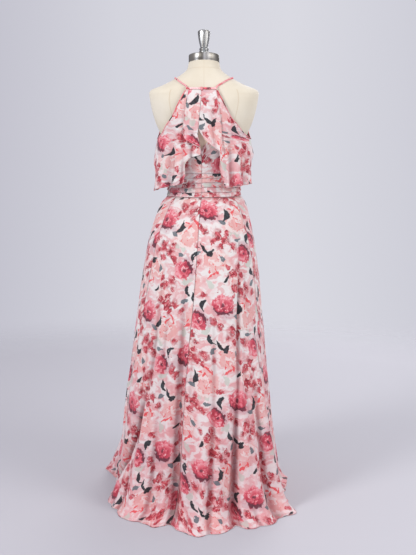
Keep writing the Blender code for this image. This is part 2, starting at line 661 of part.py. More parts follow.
def neck_bindings():
    """The strips along the back of the neck."""
    heights = STRIP_FOOT + BINDING_HEIGHT * np.array([1.0, 0.5, 0.0])
    corner = float(skewed(ARMHOLE[0].turn)), float(skewed(-ARMHOLE[0].turn))
    spans = {
        "left": (corner[1], turn_at(strip_reach, NECK_GAP_LEFT, STRIP_FOOT)),
        "right": (turn_at(strip_reach, NECK_GAP_RIGHT, STRIP_FOOT), corner[0]),
    }
    for side, (start, end) in spans.items():
        turns = np.linspace(start, end, 6)
        cloth("neck_binding_back_" + side, points(strip_reach, turns[None, :], heights[:, None]),
              BINDING_THICK, "binding")


def beside(edge, within, clear=EDGE_BINDING + SEAM + 0.0002):
    """Middle of a rolled binding just past an edge of a wall, level with its middle.

    within holds, for each point of the edge, the next point into the cloth.
    """
    inward = within - edge
    along = np.gradient(edge, axis=0)
    outward = np.cross(along, inward)
    outward *= np.sign(np.sum(outward * (edge * (1, 1, 0)), axis=1))[:, None]
    outward /= np.linalg.norm(outward, axis=1)[:, None]
    away = np.cross(along, outward)
    away *= -np.sign(np.sum(away * inward, axis=1))[:, None]
    away /= np.linalg.norm(away, axis=1)[:, None]
    return edge + away * clear - outward * CLOTH / 2


def shortened(path, start, end):
    """A path cut short by shares of its first and last steps."""
    path = path.copy()
    path[0] += start * (path[1] - path[0])
    path[-1] += end * (path[-2] - path[-1])
    return path


def edge_bindings():
    """Rolled bindings along both armholes and the front neckline."""
    front = overlay_front_grid()
    neck = front[:, ARMHOLE_COLUMNS:-ARMHOLE_COLUMNS]
    tube("neck_binding_front", shortened(beside(neck[0], neck[1]), 0.4, 0.4), EDGE_BINDING)
    under_arm = sum(row.outer_turn < SIDE_SEAM for row in OVERLAY_BACK["left"]) + 1
    for side in ("left", "right"):
        back = overlay_back_grid(side)[:under_arm]
        behind = beside(back[:, -1], back[:, -2] - (0.0, 0.0, 0.02))
        ahead = (front if side == "right" else front[:, ::-1])[:, :ARMHOLE_COLUMNS + 1]
        path = np.concatenate([behind, beside(ahead[0], ahead[1])[1:]])
        tube("armhole_binding_" + side, shortened(path, 0.1, 0.4), EDGE_BINDING)


def strap(side):
    """A spaghetti strap from the back of the neck over the shoulder to the front.

    Its ends meet the strip along the neck and the corner of the overlay's front.
    """
    sign = -1 if side == "left" else 1
    raw = np.linspace(STRAP_PATH[0].turn, STRAP_PATH[-1].turn, STRAP_POINTS)
    heights = column(STRAP_PATH, "z", raw)
    turns = skewed(sign * raw)
    surface = points(form_reach, turns, heights)
    surface[:, 2] -= column(FORM, "tilt", heights) * surface[:, 1]
    step = 0.0005
    round_way = points(form_reach, turns + 0.5, heights) - points(form_reach, turns - 0.5, heights)
    up_way = points(form_reach, turns, heights + step) - points(form_reach, turns, heights - step)
    normal = np.cross(round_way, up_way)
    normal /= np.linalg.norm(normal, axis=1)[:, None]
    torso = bpy.data.objects["form_torso"].data
    facets = BVHTree.FromPolygons([spot.co for spot in torso.vertices],
                                  [face.vertices for face in torso.polygons])
    path = []
    for spot, out in zip(surface, normal):
        seat = facets.ray_cast(Vector(spot + out * 0.02), Vector(-out))[0]
        path.append(np.array(seat) + out * (STRAP + STRAP_CLEAR))
    neck = float(skewed(sign * ARMHOLE[0].turn)) + sign * np.array([STRIP_TO_STRAP, 2.0])
    start = points(lambda turn, z: strip_reach(turn, z) - BINDING_THICK / 2,
                   neck, STRIP_FOOT + BINDING_HEIGHT / 2)
    edge = overlay_front_grid()[0]
    corner = edge[ARMHOLE_COLUMNS if side == "right" else -1 - ARMHOLE_COLUMNS]
    inwards = 1 - CLOTH / 2 / math.hypot(corner[0], corner[1])
    foot = corner * (inwards, inwards, 1.0) + (0.0, 0.0, SEAM)
    path = [*start, *path, foot + (0.0, 0.0, 0.005), foot]
    tube("strap_" + side, path, STRAP)


def closures():
    """The covered button with its loop, and the concealed zip with its slider."""
    z = NECK_EDGE + SEAM + BINDING_HEIGHT / 2
    x = (NECK_GAP_LEFT + NECK_GAP_RIGHT) / 2
    face = float(overlay_reach(0.0, z)) + BINDING_THICK - CLOTH
    mesh = bpy.data.meshes.new("button")
    ball = bmesh.new()
    bmesh.ops.create_uvsphere(ball, u_segments=12, v_segments=6, radius=BUTTON_RADIUS)
    bmesh.ops.scale(ball, vec=(1.0, BUTTON_THICK / BUTTON_RADIUS, 1.0), verts=ball.verts)
    ball.to_mesh(mesh)
    ball.free()
    button = add_object("button", mesh, "binding")
    button.location = (x, -(face + BUTTON_THICK + SEAM), z)
    way = BUTTON_RADIUS + LOOP_CORD + SEAM
    over_cascade = float(overlay_reach(0.0, z - way - LOOP_CORD)) + CLOTH + 3 * SEAM + LOOP_CORD
    angles = np.radians(np.linspace(150.0, -150.0, 13))
    path = [(x + way * math.cos(angle), -over_cascade, z + way * math.sin(angle))
            for angle in angles]
    tube("button_loop", path, LOOP_CORD)


def zip_closure():
    """A narrow tape behind the centre-back seam, and the slider at its top."""
    centre = float(skewed(0.0)) + 1.0

    def tape_reach(turn, z):
        return form_reach(turn, z) + BODICE_EASE - CLOTH - SEAM - 0.0002
    top, foot = BODICE_TOP[0].z - 0.003, WAIST_TOP + 0.004
    heights = np.linspace(top, foot, 7)
    turns = centre + np.array([-1.6, 0.0, 1.6])
    cloth("zip", points(tape_reach, turns[None, :], heights[:, None]), ZIP_TAPE, "zip")
    mesh = bpy.data.meshes.new("zip_slider")
    drop = bmesh.new()
    bmesh.ops.create_uvsphere(drop, u_segments=8, v_segments=6, radius=1.0)
    bmesh.ops.scale(drop, vec=SLIDER, verts=drop.verts)
    drop.to_mesh(mesh)
    drop.free()
    slider = add_object("zip_slider", mesh, "steel")
    middle = top - 0.006
    out = float(bodice_reach(centre, middle)) + SLIDER[1] + 2 * SEAM
    angle = math.radians(centre)
    slider.location = (out * math.sin(angle), -out * math.cos(angle), middle)
    slider.rotation_euler.z = angle


def build():
    for old in list(bpy.data.objects):
        bpy.data.objects.remove(old, do_unlink=True)
    collection = bpy.data.collections.new(COLLECTION)
    bpy.context.scene.collection.children.link(collection)
    form_torso()
    neck_hardware()
    stand()
    skirt()
    waistband()
    bodice()
    overlay()
    for side in ("left", "right"):
        cascade(side)
        strap(side)
    neck_bindings()
    edge_bindings()
    closures()
    zip_closure()


build()
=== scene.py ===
"""Looks of the maxi dress and its dress form, in Blender 4.5.

Every piece of cloth is a thin shell over the form of its solid, with finer
folds, and carries a flat layout (UV, in metres of cut cloth) that its print
follows. The print is a watercolour of roses, peonies, petals and leaves made
of shader nodes alone.

Metres, +Z up. The back of the dress faces -Y and +X is the wearer's right
side. A turn is an angle in degrees round the form's axis: 0 is the centre
back, 90 the right side, 180 the centre front and -90 the left side. A reach
is the distance from the axis to a surface, at a turn and a height.
"""
import math
from collections import namedtuple

import bmesh
import bpy
import numpy as np
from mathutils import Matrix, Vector


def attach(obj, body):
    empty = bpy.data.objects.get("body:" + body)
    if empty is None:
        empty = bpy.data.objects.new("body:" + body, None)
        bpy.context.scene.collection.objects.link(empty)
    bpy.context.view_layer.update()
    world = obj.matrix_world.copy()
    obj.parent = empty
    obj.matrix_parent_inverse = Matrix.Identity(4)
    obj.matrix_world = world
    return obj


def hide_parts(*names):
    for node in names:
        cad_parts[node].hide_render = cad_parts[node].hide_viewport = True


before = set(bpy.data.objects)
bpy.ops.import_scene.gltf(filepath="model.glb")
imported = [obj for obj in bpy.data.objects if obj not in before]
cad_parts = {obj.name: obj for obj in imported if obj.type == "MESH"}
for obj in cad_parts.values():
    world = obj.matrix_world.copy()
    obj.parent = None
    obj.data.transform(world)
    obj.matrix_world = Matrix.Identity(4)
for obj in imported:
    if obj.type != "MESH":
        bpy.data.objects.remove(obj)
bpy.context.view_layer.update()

# ---------------------------------------------------------------- sizes
CLOTH = 0.0012             # wall of the solids of bodice, overlay and waistband
SHELL = 0.0007             # real cloth, two layers of chiffon
SEAM = 0.0003              # gap between pieces that are sewn together
TURNED_IN = 0.0002         # more gap where the walls of two panels lean together
BODICE_EASE = 0.0055       # outer face of the under-bodice, off the form
LIP_EASE = 0.0092          # outer edge of each waistband pleat, off the form
ROOT_EASE = 0.0058         # and its root
PLEAT_WANDER = 0.0022      # how far the pleats stray from level
SKIRT_EASE = 0.0060        # nearest that the skirt comes to the form
OVERLAY_EASE = 0.0080      # nearest that the overlay comes to the form

WAIST_TOP = 1.186          # seam between under-bodice and waistband
WAIST_SEAM = 1.1015        # seam between waistband and skirt
HEM = 0.0019               # outer edge of the skirt, which lies on the floor
NECK_EDGE = 1.479          # top of the overlay at the back of the neck
BINDING_HEIGHT = 0.0065    # strip along the back of the neck
BINDING_THICK = 0.0030
STRIP_FOOT = NECK_EDGE + SEAM + BINDING_THICK / 4
EDGE_BINDING = 0.0017      # radius of the rolled armhole and neckline bindings
STRAP = 0.0031             # radius of the spaghetti straps
ROLLED_HEM = 0.0009        # radius of the rolled hems
FRONT_HEM = 1.128          # hem of the overlay at the centre front
OVERLAY_HEM = 1.12         # height where its folds have all their depth
SIDE_SEAM = 90.0           # turn of the side seams of bodice and overlay
WAIST_SIDE_SEAM = 86.0     # turn of the waistband's side seams
BACK_SKEW = -6.0           # turn by which the back of the bodice hangs to the left
NECK_GAP_LEFT = -0.0110    # x of the two ends of the back neck binding
NECK_GAP_RIGHT = -0.0055
PLEATS = 5                 # horizontal pleats in the waistband
HIDDEN_IN_PLEAT = 0.031    # cloth that each pleat hides

CAP_RADIUS = 0.0545        # steel cap on the neck
CAP_HEIGHT = 0.028

BUTTON_RADIUS = 0.0045
BUTTON_THICK = 0.0024      # half its thickness
LOOP_CORD = 0.0007         # radius of the button's loop

FORM_REACH = 0.10          # about how far the bodice's seams are from the axis
SIDE_REACH = 0.17          # and the overlay's side seams
SKIRT_REACH = 0.7          # and the skirt's, as a share of its reach at turn 0
CASCADE_LIFT = 0.0045      # how far the foot of a cascade stands off the overlay
CASCADE_RIPPLE = 0.006     # depth of the ripple at its foot

CENTRE_BACK = BACK_SKEW + 1.0   # turn of the centre-back seam
BINDING_FACE = BINDING_THICK - CLOTH   # how far the neck strip stands out from the overlay
STRAP_FLAT = 0.62          # thickness of a strap, as a share of its width
SIGN = {"left": -1, "right": 1}   # of a turn on each side of the back

ZIP_TURN = 1.6             # half the zip's width, as a turn
ZIP_THICK = 0.0006
ZIP_TOP = 0.003            # from the top edge of the bodice down to the zip
ZIP_FOOT = 0.004           # from the waistband up to it
ZIP_GAP = 0.0002           # more gap between the bodice and the zip
COIL_TURN = 0.378          # half the width of its coil, as a turn
COIL_DEPTH = 0.0010        # how far the coil's middle is behind the tape's face
COIL_RADIUS = 0.0003       # of the coil's thread
COIL_STEPS = 360           # along the thread, which crosses over after every third

# Rows of points in each piece of cloth, and the columns of its panels.
SKIRT_ROWS, SKIRT_COLUMNS = 146, (124, 150, 300)
WAISTBAND_ROWS, WAISTBAND_COLUMNS = 100, (110, 124, 240)
BODICE_ROWS, BODICE_COLUMNS = 36, (70, 70, 130)
OVERLAY_ROWS = 84          # of its front, whose columns follow
ARMHOLE_COLUMNS, NECKLINE_COLUMNS = 44, 120
STEP_ROWS = 12             # of its back, for each step of its table
BACK_COLUMNS = 76
UNDER_ARM = 6              # the step where the armhole meets the side seam
CASCADE_ROWS, CASCADE_COLUMNS = 84, 60
STRIP_ROWS, STRIP_COLUMNS = 13, 70

CAMERA = dict(place=(0.0142, -4.0, 1.5), down=9.95, lens=71.8, film=36.0)
FLOOR_RADIUS = 3.3

# ---------------------------------------------------------------- tables
def chart(text):
    """Rows under a line of column names. The cells that a row leaves out at its end are 0."""
    names, *lines = [line.split() for line in text.strip().splitlines()]
    Row = namedtuple("Row", names, defaults=[0.0] * len(names))
    return [Row(*(float(cell) if cell.strip("-.0123456789") == "" else cell for cell in line))
            for line in lines]


# Sections of the form. shift moves the section forwards, tilt slopes it.
FORM = chart("""
z side back front square shift tilt
0.86 0.158 0.112 0.094 2.2
0.92 0.165 0.118 0.098 2.2
0.98 0.158 0.11 0.095 2.2
1.05 0.14 0.094 0.088 2.1
1.11 0.125 0.085 0.084 2.1
1.16 0.126 0.085 0.087 2.1
1.22 0.135 0.091 0.097 2.2
1.28 0.145 0.099 0.106 2.3
1.32 0.155 0.104 0.105 2.4
1.36 0.172 0.107 0.1 2.6
1.4 0.184 0.107 0.092 2.8
1.44 0.192 0.103 0.082 3
1.465 0.195 0.096 0.073 3
1.477 0.187 0.092 0.069 2.9
1.49 0.154 0.088 0.064 2.6 0 0.02
1.507 0.118 0.081 0.06 2.4 0 0.06
1.525 0.087 0.072 0.057 2.2 0 0.12
1.538 0.069 0.065 0.056 2.1 0.002 0.17
1.548 0.0605 0.06 0.055 2 0.005 0.2
1.56 0.057 0.057 0.055 2 0.009 0.21
1.573 0.0545 0.0545 0.0545 2 0.012 0.21
""")
NECK_TILT = FORM[-1].tilt  # slope of the neck's cuts, lower at the front
BUST = dict(turn=142.0, z=1.295, swell=0.020, wide=23.0, tall=0.050)

# Sections of hanging cloth: how far it stands from the axis on four sides.
SKIRT = chart("""
z left right back front square
0 0.345 0.31 0.458 0.332 2.8
0.02 0.335 0.29 0.412 0.312 2.7
0.05 0.328 0.277 0.386 0.299 2.6
0.1 0.319 0.268 0.366 0.289 2.5
0.16 0.308 0.26 0.349 0.279 2.4
0.25 0.296 0.25 0.328 0.267 2.4
0.36 0.287 0.24 0.302 0.252 2.3
0.45 0.276 0.231 0.281 0.237 2.3
0.56 0.261 0.221 0.255 0.219 2.2
0.68 0.245 0.209 0.228 0.199 2.2
0.8 0.228 0.201 0.201 0.178 2.2
0.89 0.212 0.19 0.18 0.16 2.2
0.955 0.198 0.179 0.162 0.145 2.2
1.02 0.177 0.165 0.139 0.124 2.2
1.075 0.154 0.15 0.113 0.105 2.1
1.102 0.132 0.133 0.094 0.092 2.1
""")
OVERLAY = chart("""
z left right back front square
1.115 0.18 0.173 0.138 0.143 2.2
1.15 0.177 0.169 0.134 0.145 2.2
1.185 0.176 0.167 0.131 0.148 2.2
1.22 0.178 0.17 0.128 0.151 2.2
1.25 0.176 0.177 0.125 0.152 2.2
1.28 0.172 0.171 0.122 0.149 2.3
1.3 0.168 0.168 0.119 0.143 2.3
1.33 0.165 0.165 0.115 0.132 2.4
1.4 0.18 0.18 0.108 0.105 2.6
1.48 0.18 0.18 0.096 0.08 2.8
""")

# Folds: a positive depth stands out and a negative one runs in. Each starts
# at a height, grows to its depth at the hem, and wanders from one turn to the
# other, late on its way where late is above 0 and early where it is below.
SKIRT_FOLDS = chart("""
top turn_top turn_hem depth width late
0.6 -2 -2 0.036 7.5
0.95 -20 -16.6 -0.052 4.2
0.7 -34 -27 -0.026 8
1 58 15.3 -0.034 4.6 -0.5
0.9 20 33 0.02 8
0.8 44 49.5 0.052 6
0.95 62 71 -0.02 6
0.9 84 97 0.01 8
0.82 -40 -87 -0.036 6 3
0.6 -56 -66 0.012 9
0.34 -108 -115 0.062 7
0.95 116 127 -0.022 7
0.85 134 140 0.026 8.5
0.9 155 159 -0.024 8
0.8 176 178 0.028 9
0.95 198 200 -0.026 8
0.8 218 220 0.024 8
0.9 238 232 -0.02 6
""")
OVERLAY_FOLDS = chart("""
top turn_top turn_hem depth width late
1.44 -40 -39 0.01 5
1.42 -50 -53 -0.008 6
1.34 -66 -70 0.007 7
1.42 40 41 -0.009 4
1.44 50 51 0.01 5
1.38 62 64 -0.007 6
1.3 76 78 0.007 7
1.28 100 102 -0.008 8
1.36 118 120 0.009 8
1.38 138 139 -0.007 8
1.36 158 157 0.008 8
1.35 180 177 -0.007 8
1.36 200 201 0.008 8
1.38 221 220 -0.007 8
1.36 240 239 0.009 8
1.28 259 258 -0.008 8
""")
# Finer folds, which the solids leave out.
SKIRT_CREASES = chart("""
top turn_top turn_hem depth width late
0.74 9 2.5 -0.0095 2
0.62 13 7.5 0.0065 2.4
0.9 -9 -9.5 -0.006 1.9
0.45 4.5 -3 0.005 1.8 0.3
0.84 27 21 0.006 2.2
0.66 36 26.5 -0.007 2 -0.1
0.98 45 38 -0.0085 2.2 0.2
0.72 50 56 -0.0065 2
1.04 62 18.5 0.008 1.9 -0.5
1.04 58.5 15 -0.009 1.5 -0.5
0.9 -42 -86 -0.009 1.7 3
0.9 -38 -82 0.007 2 3
0.88 66 62 0.006 2.1
0.78 76 84 -0.007 2.3
1 -27 -23 0.006 2
0.8 -33 -33 -0.0065 1.8
0.96 -47 -44 0.0075 2.4
0.7 -50 -51 -0.008 2
0.86 -60 -58.5 -0.006 1.9
0.94 -71 -76 0.0065 2.4
0.6 -79 -84 -0.006 2
0.9 -92 -99 -0.008 2.6
0.7 -101 -106 0.006 2.1
0.92 -122 -128 -0.0075 2.6
0.84 91 104 0.0065 2.4
0.9 104 113 -0.0075 2.5
0.72 123 133 0.006 2.2
0.96 145 148 -0.008 2.6
0.66 150 153.5 0.0055 2
0.88 166 167 -0.0065 2.3
0.98 171 173 0.006 2.2
0.74 186 185.5 -0.007 2.4
0.9 191 192.5 0.006 2.1
0.82 209 211 -0.0075 2.5
0.96 226 225 0.006 2.2
0.7 246 244 0.0065 2.4
""")
OVERLAY_CREASES = chart("""
top turn_top turn_hem depth width late
1.46 -9 -17 0.0045 2.4
1.45 -16 -23 -0.005 2.2
1.44 -22 -29 0.005 2.4
1.4 -31 -34.5 -0.005 2
1.38 -44 -45.5 -0.0045 1.8
1.36 -57 -60 0.0045 2.2
1.3 -62 -65 -0.004 1.7
1.29 -76 -79 -0.005 2.3
1.46 6 17 0.0045 2.4
1.45 12 24 -0.005 2.3
1.44 20 31 0.005 2.3
1.41 31 36 0.0045 1.8
1.38 45 46 -0.005 1.8
1.36 55 57.5 -0.0045 1.9
1.33 68 70.5 0.0045 2
1.28 84 86 -0.005 2.4
1.28 92 94 0.0045 2.4
1.33 109 110 0.0045 2.2
1.36 127 128 -0.005 2.4
1.37 147 147.5 0.0045 2.3
1.36 165 165 -0.005 2.3
1.35 173 172 0.0045 2.2
1.35 190 189 0.005 2.4
1.37 211 210 -0.0045 2.3
1.36 230 229 0.005 2.4
1.33 249 248.5 -0.0045 2.2
1.28 266 265.5 0.005 2.4
""")
# Small gathers that start at a seam and fade within a length below it.
WAIST_GATHERS = chart("""
turn depth width length
-38 -0.0045 1.9 0.1
-30 0.004 2.2 0.13
-19 -0.004 1.8 0.09
-12 0.0035 1.9 0.11
3 -0.004 1.8 0.1
11 0.004 2.1 0.14
22 -0.0045 1.9 0.11
31 0.004 2.2 0.09
40 -0.004 1.9 0.13
-50 0.0045 2.4 0.12
52 0.0045 2.3 0.1
72 -0.004 2.2 0.11
-74 -0.0045 2.3 0.12
97 0.0045 2.4 0.1
-98 0.004 2.2 0.11
118 -0.0045 2.2 0.12
-116 -0.004 2.3 0.1
136 0.004 2.1 0.11
-133 0.0045 2.2 0.13
152 -0.0045 2.3 0.1
-150 -0.004 2.1 0.12
168 0.004 2.2 0.11
-168 0.0045 2.3 0.1
180 -0.004 2.2 0.12
""")

# The armhole's edge, from the back of the neck under the arm to the front
# strap, by its turn from the dress's own centre back.
ARMHOLE = chart("""
turn z
28 1.479
35.5 1.43
44 1.384
55 1.349
66 1.322
79 1.306
90 1.301
98 1.306
108 1.332
118 1.382
128 1.437
""")
# The front neckline, which goes on from the last point of the armhole.
NECKLINE = chart("""
turn z
138 1.412
150 1.388
165 1.372
180 1.367
""")
BODICE_TOP = chart("""
turn z
0 1.271
2.5 1.278
5 1.284
12 1.299
30 1.317
50 1.317
66 1.309
80 1.296
90 1.291
98 1.295
108 1.315
118 1.338
130 1.35
150 1.345
180 1.34
""")
STRAP_PATH = chart("""
turn z
33.5 1.49
40 1.4955
50 1.5035
65 1.5115
90 1.5165
106 1.5115
116 1.4995
121 1.4875
126 1.468
127.6 1.452
""")

# Rows of each back panel of the overlay: its inner edge, by x and height, and
# its outer edge, which is the armhole and then the side seam.
OVERLAY_BACK = chart("""
step outer_turn left_x left_z left_outer_z right_x right_z right_outer_z
0 28 -0.0095 1.479 1.479 -0.008 1.479 1.479
1 35.5 -0.0122 1.43 1.43 -0.0107 1.43 1.43
2 44 -0.0165 1.385 1.384 -0.015 1.385 1.384
3 55 -0.02 1.352 1.349 -0.0175 1.354 1.349
4 66 -0.0215 1.322 1.322 -0.006 1.332 1.322
5 79 -0.017 1.298 1.306 0.012 1.313 1.306
6 90 -0.0125 1.275 1.301 0.032 1.297 1.301
7 90 -0.0115 1.255 1.272 0.05 1.28 1.272
8 90 -0.048 1.243 1.238 0.056 1.255 1.24
9 90 -0.068 1.215 1.2 0.056 1.215 1.21
10 90 -0.066 1.181 1.16 0.062 1.175 1.178
11 90 -0.074 1.154 1.117 0.074 1.14 1.148
""")
# Rows of each cascade: its left edge, by x and height, and the end of the row, its right edge.
CASCADE = chart("""
step left_x left_z left_end_x left_end_z right_x right_z right_end_x right_end_z
0 -0.055 1.4785 -0.0095 1.4785 -0.0085 1.4785 0.042 1.4765
1 -0.062 1.43 -0.012 1.43 -0.011 1.43 0.05 1.43
2 -0.07 1.388 -0.016 1.388 -0.015 1.386 0.057 1.386
3 -0.073 1.352 -0.019 1.352 -0.018 1.352 0.061 1.35
4 -0.074 1.328 -0.021 1.325 -0.0145 1.336 0.062 1.318
5 -0.068 1.311 -0.0165 1.302 0.0005 1.312 0.062 1.29
6 -0.04 1.293 -0.014 1.28 0.024 1.29 0.06 1.266
""")
# Seams of the skirt, by height: the turn of the centre back and of each side.
SKIRT_SEAMS = chart("""
z centre left right
0 -16.7 -74 72
0.27 -14.8 -70 70
0.6 -12.2 -65 66
0.75 -9.8 -62 63
0.97 -7.3 -59 61
1.076 -6.5 -58 60
1.102 -5.2 -58 60
""")

# Where each piece of cloth was cut from the print: the shift of its flat
# layout across and down, and its turn in degrees from the grain. Then, for a
# sheet, the flat size of the cloth that shows: width, length and area, in
# metres, how it is held, and by what where that isn't the form.
PIECES = {row.piece: row for row in chart("""
piece across down turn wide long area held rests_on
skirt_back_left 0.31 0.1 4 0.457 1.186 0.3072 hung
skirt_back_right 0.95 0.18 -3 0.81 1.196 0.463 hung
skirt_front 2.2 0.05 0 1.505 1.164 1.1045 hung
waistband_back_left 0.2 2 84 0.165 0.096 0.0153 folded
waistband_back_right 0.75 2.13 95 0.182 0.095 0.0168 folded
waistband_front 1.4 2.05 90 0.391 0.095 0.0357 folded
bodice_back_left 0.15 3 12 0.228 0.135 0.0234 stretched
bodice_back_right 0.62 3.1 -10 0.246 0.134 0.0251 stretched
bodice_front 1.3 3.05 0 0.491 0.173 0.0649 stretched
overlay_back_left 0.27 4.03 14 0.242 0.449 0.0529 hung neck_binding_back_left_cloth
overlay_back_right 0.8 4.12 -12 0.208 0.433 0.051 hung neck_binding_back_right_cloth
overlay_front 1.55 4 0 0.663 0.319 0.1284 hung neck_binding_front_rolled
cascade_left 0.312 4.916 20 0.058 0.211 0.0099 draped overlay_back_left_cloth
cascade_right 0.9 5 -18 0.084 0.216 0.0132 draped overlay_back_right_cloth
neck_binding_back_left 0.1 6 45
neck_binding_back_right 0.4 6.1 45
neck_binding_front 0.7 6 45
armhole_binding_left 1.1 6.05 45
armhole_binding_right 1.5 6 45
strap_left 1.9 6.02 45
strap_right 2.3 6.08 45
button 2.7 6
""")}

# Turned profiles, from the top down, as radius and height.
FINIAL = [
    (0.0, 0.0905), (0.006, 0.0903), (0.012, 0.0895), (0.0165, 0.0883), (0.0195, 0.087),
    (0.0212, 0.0858), (0.022, 0.0844), (0.0222, 0.0822), (0.0221, 0.079), (0.0211, 0.0695),
    (0.0199, 0.0605), (0.0185, 0.052), (0.0168, 0.043), (0.015, 0.035), (0.0137, 0.03),
    (0.0133, 0.028), (0.0138, 0.0262), (0.016, 0.024), (0.0168, 0.0225), (0.017, 0.0205),
    (0.0167, 0.018), (0.0158, 0.0165), (0.016, 0.015), (0.0174, 0.0125), (0.0178, 0.0095),
    (0.0178, 0.0075), (0.0158, 0.0035), (0.015, 0.0), (0.0, 0.0),
]
CAP_PROFILE = [
    (0.0, CAP_HEIGHT), (CAP_RADIUS - 0.006, CAP_HEIGHT), (CAP_RADIUS - 0.003, CAP_HEIGHT - 0.0001),
    (CAP_RADIUS - 0.0016, CAP_HEIGHT - 0.0004), (CAP_RADIUS - 0.0006, CAP_HEIGHT - 0.0012),
    (CAP_RADIUS, CAP_HEIGHT - 0.003), (CAP_RADIUS, 0.0022), (CAP_RADIUS - 0.0006, 0.0016),
    (CAP_RADIUS, 0.001), (CAP_RADIUS, 0.0), (0.0, 0.0),
]

# Painted reflections on the brushed steel: light and dark upright bands, by turn as a share of a whole one
# from the far side.
CAP_REFLECTIONS = [
    (0.25, "#55514B"), (0.32, "#8C8881"), (0.385, "#85817B"), (0.408, "#BDBDBB"), (0.425, "#B5B5B3"),
    (0.445, "#6C6862"), (0.484, "#75716B"), (0.505, "#C9C8C6"), (0.53, "#A9A7A3"), (0.548, "#BDBBB7"),
    (0.58, "#86827B"), (0.62, "#938F88"), (0.68, "#6B665F"), (0.75, "#4A463F"),
]
FINIAL_REFLECTIONS = [
    (0.25, "#807E7A"), (0.35, "#706E6A"), (0.41, "#A4A6A6"), (0.44, "#9EA1A1"), (0.475, "#858988"),
    (0.51, "#9AA2A2"), (0.55, "#A9AEAE"), (0.58, "#7D7D7A"), (0.62, "#72706C"), (0.66, "#A2A4A4"),
    (0.7, "#949594"), (0.75, "#7A7975"),
]


# ---------------------------------------------------------------- curves
def column(table, name, at):
    """A column of a table at any key: a smooth curve through its rows."""
    keys = np.array([row[0] for row in table], float)
    values = np.array([getattr(row, name) for row in table], float)
    at = np.clip(np.asarray(at, float), keys[0], keys[-1])
    chords = np.diff(values) / np.diff(keys)
    before, after = chords[:-1], chords[1:]
    inner = np.where(before * after > 0, 2 * before * after / (before + after + 1e-30), 0.0)
    slopes = np.concatenate(([chords[0]], inner, [chords[-1]]))
    low = np.clip(np.searchsorted(keys, at) - 1, 0, len(keys) - 2)
    span = keys[low + 1] - keys[low]
    t = (at - keys[low]) / span
    return (values[low] * (1 + 2 * t) * (1 - t) ** 2
            + values[low + 1] * t * t * (3 - 2 * t)
            + span * slopes[low] * t * (1 - t) ** 2
            - span * slopes[low + 1] * t * t * (1 - t))


def columns(table, names, at):
    return [column(table, name, at) for name in names.split()]


def between(one, other, share):
    """From one value to another, by a share of the way."""
    return one + (other - one) * share


def wave(degrees):
    return np.sin(np.radians(degrees))


def oval(turn, left, right, back, front, square):
    """Reach of a rounded section whose four sides have their own sizes."""
    sine, cosine = wave(turn), np.cos(np.radians(turn))
    wide = np.abs(sine) / np.where(sine > 0, right, left)
    deep = np.abs(cosine) / np.where(cosine > 0, back, front)
    return (wide ** square + deep ** square) ** (-1 / square)


def bump(turn, middle, width):
    """1 at a turn, fading to 0 within about twice a width of it."""
    off = (np.asarray(turn) - middle + 180.0) % 360.0 - 180.0
    return np.exp(-(off / width) ** 2)


def larger(one, other, blend=0.004):
    """The larger of two reaches, rounded where they meet."""
    return (one + other + np.sqrt((one - other) ** 2 + blend ** 2)) / 2


def course(fold, z, hem):
    """How far down its way a fold is at a height, from 0 to 1, and its turn there."""
    down = np.clip((fold.top - z) / (fold.top - hem), 0.0, 1.0)
    return down, between(fold.turn_top, fold.turn_hem, down ** (1 + fold.late))


def folds(table, turn, z, hem):
    """What the folds of a table add to a reach."""
    total = 0.0
    for fold in table:
        down, middle = course(fold, z, hem)
        total = total + fold.depth * down ** 1.3 * bump(turn, middle, fold.width)
    return total


def creases(table, turn, z, hem):
    """Finer folds, which reach most of their depth soon and swell and fade on their way."""
    total = 0.0
    for index, fold in enumerate(table):
        down, middle = course(fold, z, hem)
        middle = middle + 0.7 * np.sin(5.0 * down + index)
        swell = 0.72 + 0.28 * np.sin(9.0 * down + 2.1 * index)
        total = total + 1.5 * fold.depth * down ** 0.6 * swell * bump(turn, middle, fold.width)
    return total


def gathers(table, turn, below):
    """Gathers at a depth below their seam."""
    total = 0.0
    for one in table:
        down = np.clip(below, 0.0, None) / one.length
        middle = one.turn * (1 + 0.08 * down)
        total = total + one.depth * 2.2 * down * np.exp(-1.8 * down) * bump(turn, middle, one.width)
    return total


# ---------------------------------------------------------------- surfaces
def form_reach(turn, z):
    side, back, front, square = columns(FORM, "side back front square", z)
    tall = np.exp(-((z - BUST["z"]) / BUST["tall"]) ** 2)
    both = bump(turn, BUST["turn"], BUST["wide"]) + bump(turn, -BUST["turn"], BUST["wide"])
    return oval(turn, side, side, back, front, square) + BUST["swell"] * tall * both


def section_reach(table, turn, z):
    return oval(turn, *columns(table, "left right back front square", z))


def bodice_reach(turn, z):
    """The under-bodice, with faint level wrinkles towards the side seams."""
    drawn = 0.0006 * np.sin(z * 420.0 + 2.0 * wave(4 * turn))
    return form_reach(turn, z) + BODICE_EASE + drawn * np.abs(wave(turn)) ** 2


def skirt_reach(turn, z):
    hanging = section_reach(SKIRT, turn, z) + folds(SKIRT_FOLDS, turn, z, 0.0)
    hanging = hanging + creases(SKIRT_CREASES, turn, z, 0.0) + gathers(WAIST_GATHERS, turn, WAIST_SEAM - z)
    flutter = wave(11 * turn) + 0.7 * wave(17 * turn + 50)
    hanging = hanging + 0.0030 * np.exp(-z / 0.05) * flutter
    hanging = larger(hanging, form_reach(turn, z) + SKIRT_EASE)
    sewn = np.clip((z - WAIST_SEAM + 0.02) / 0.02, 0.0, 1.0) ** 2
    return hanging * (1 - sewn) + (form_reach(turn, WAIST_SEAM) + ROOT_EASE) * sewn


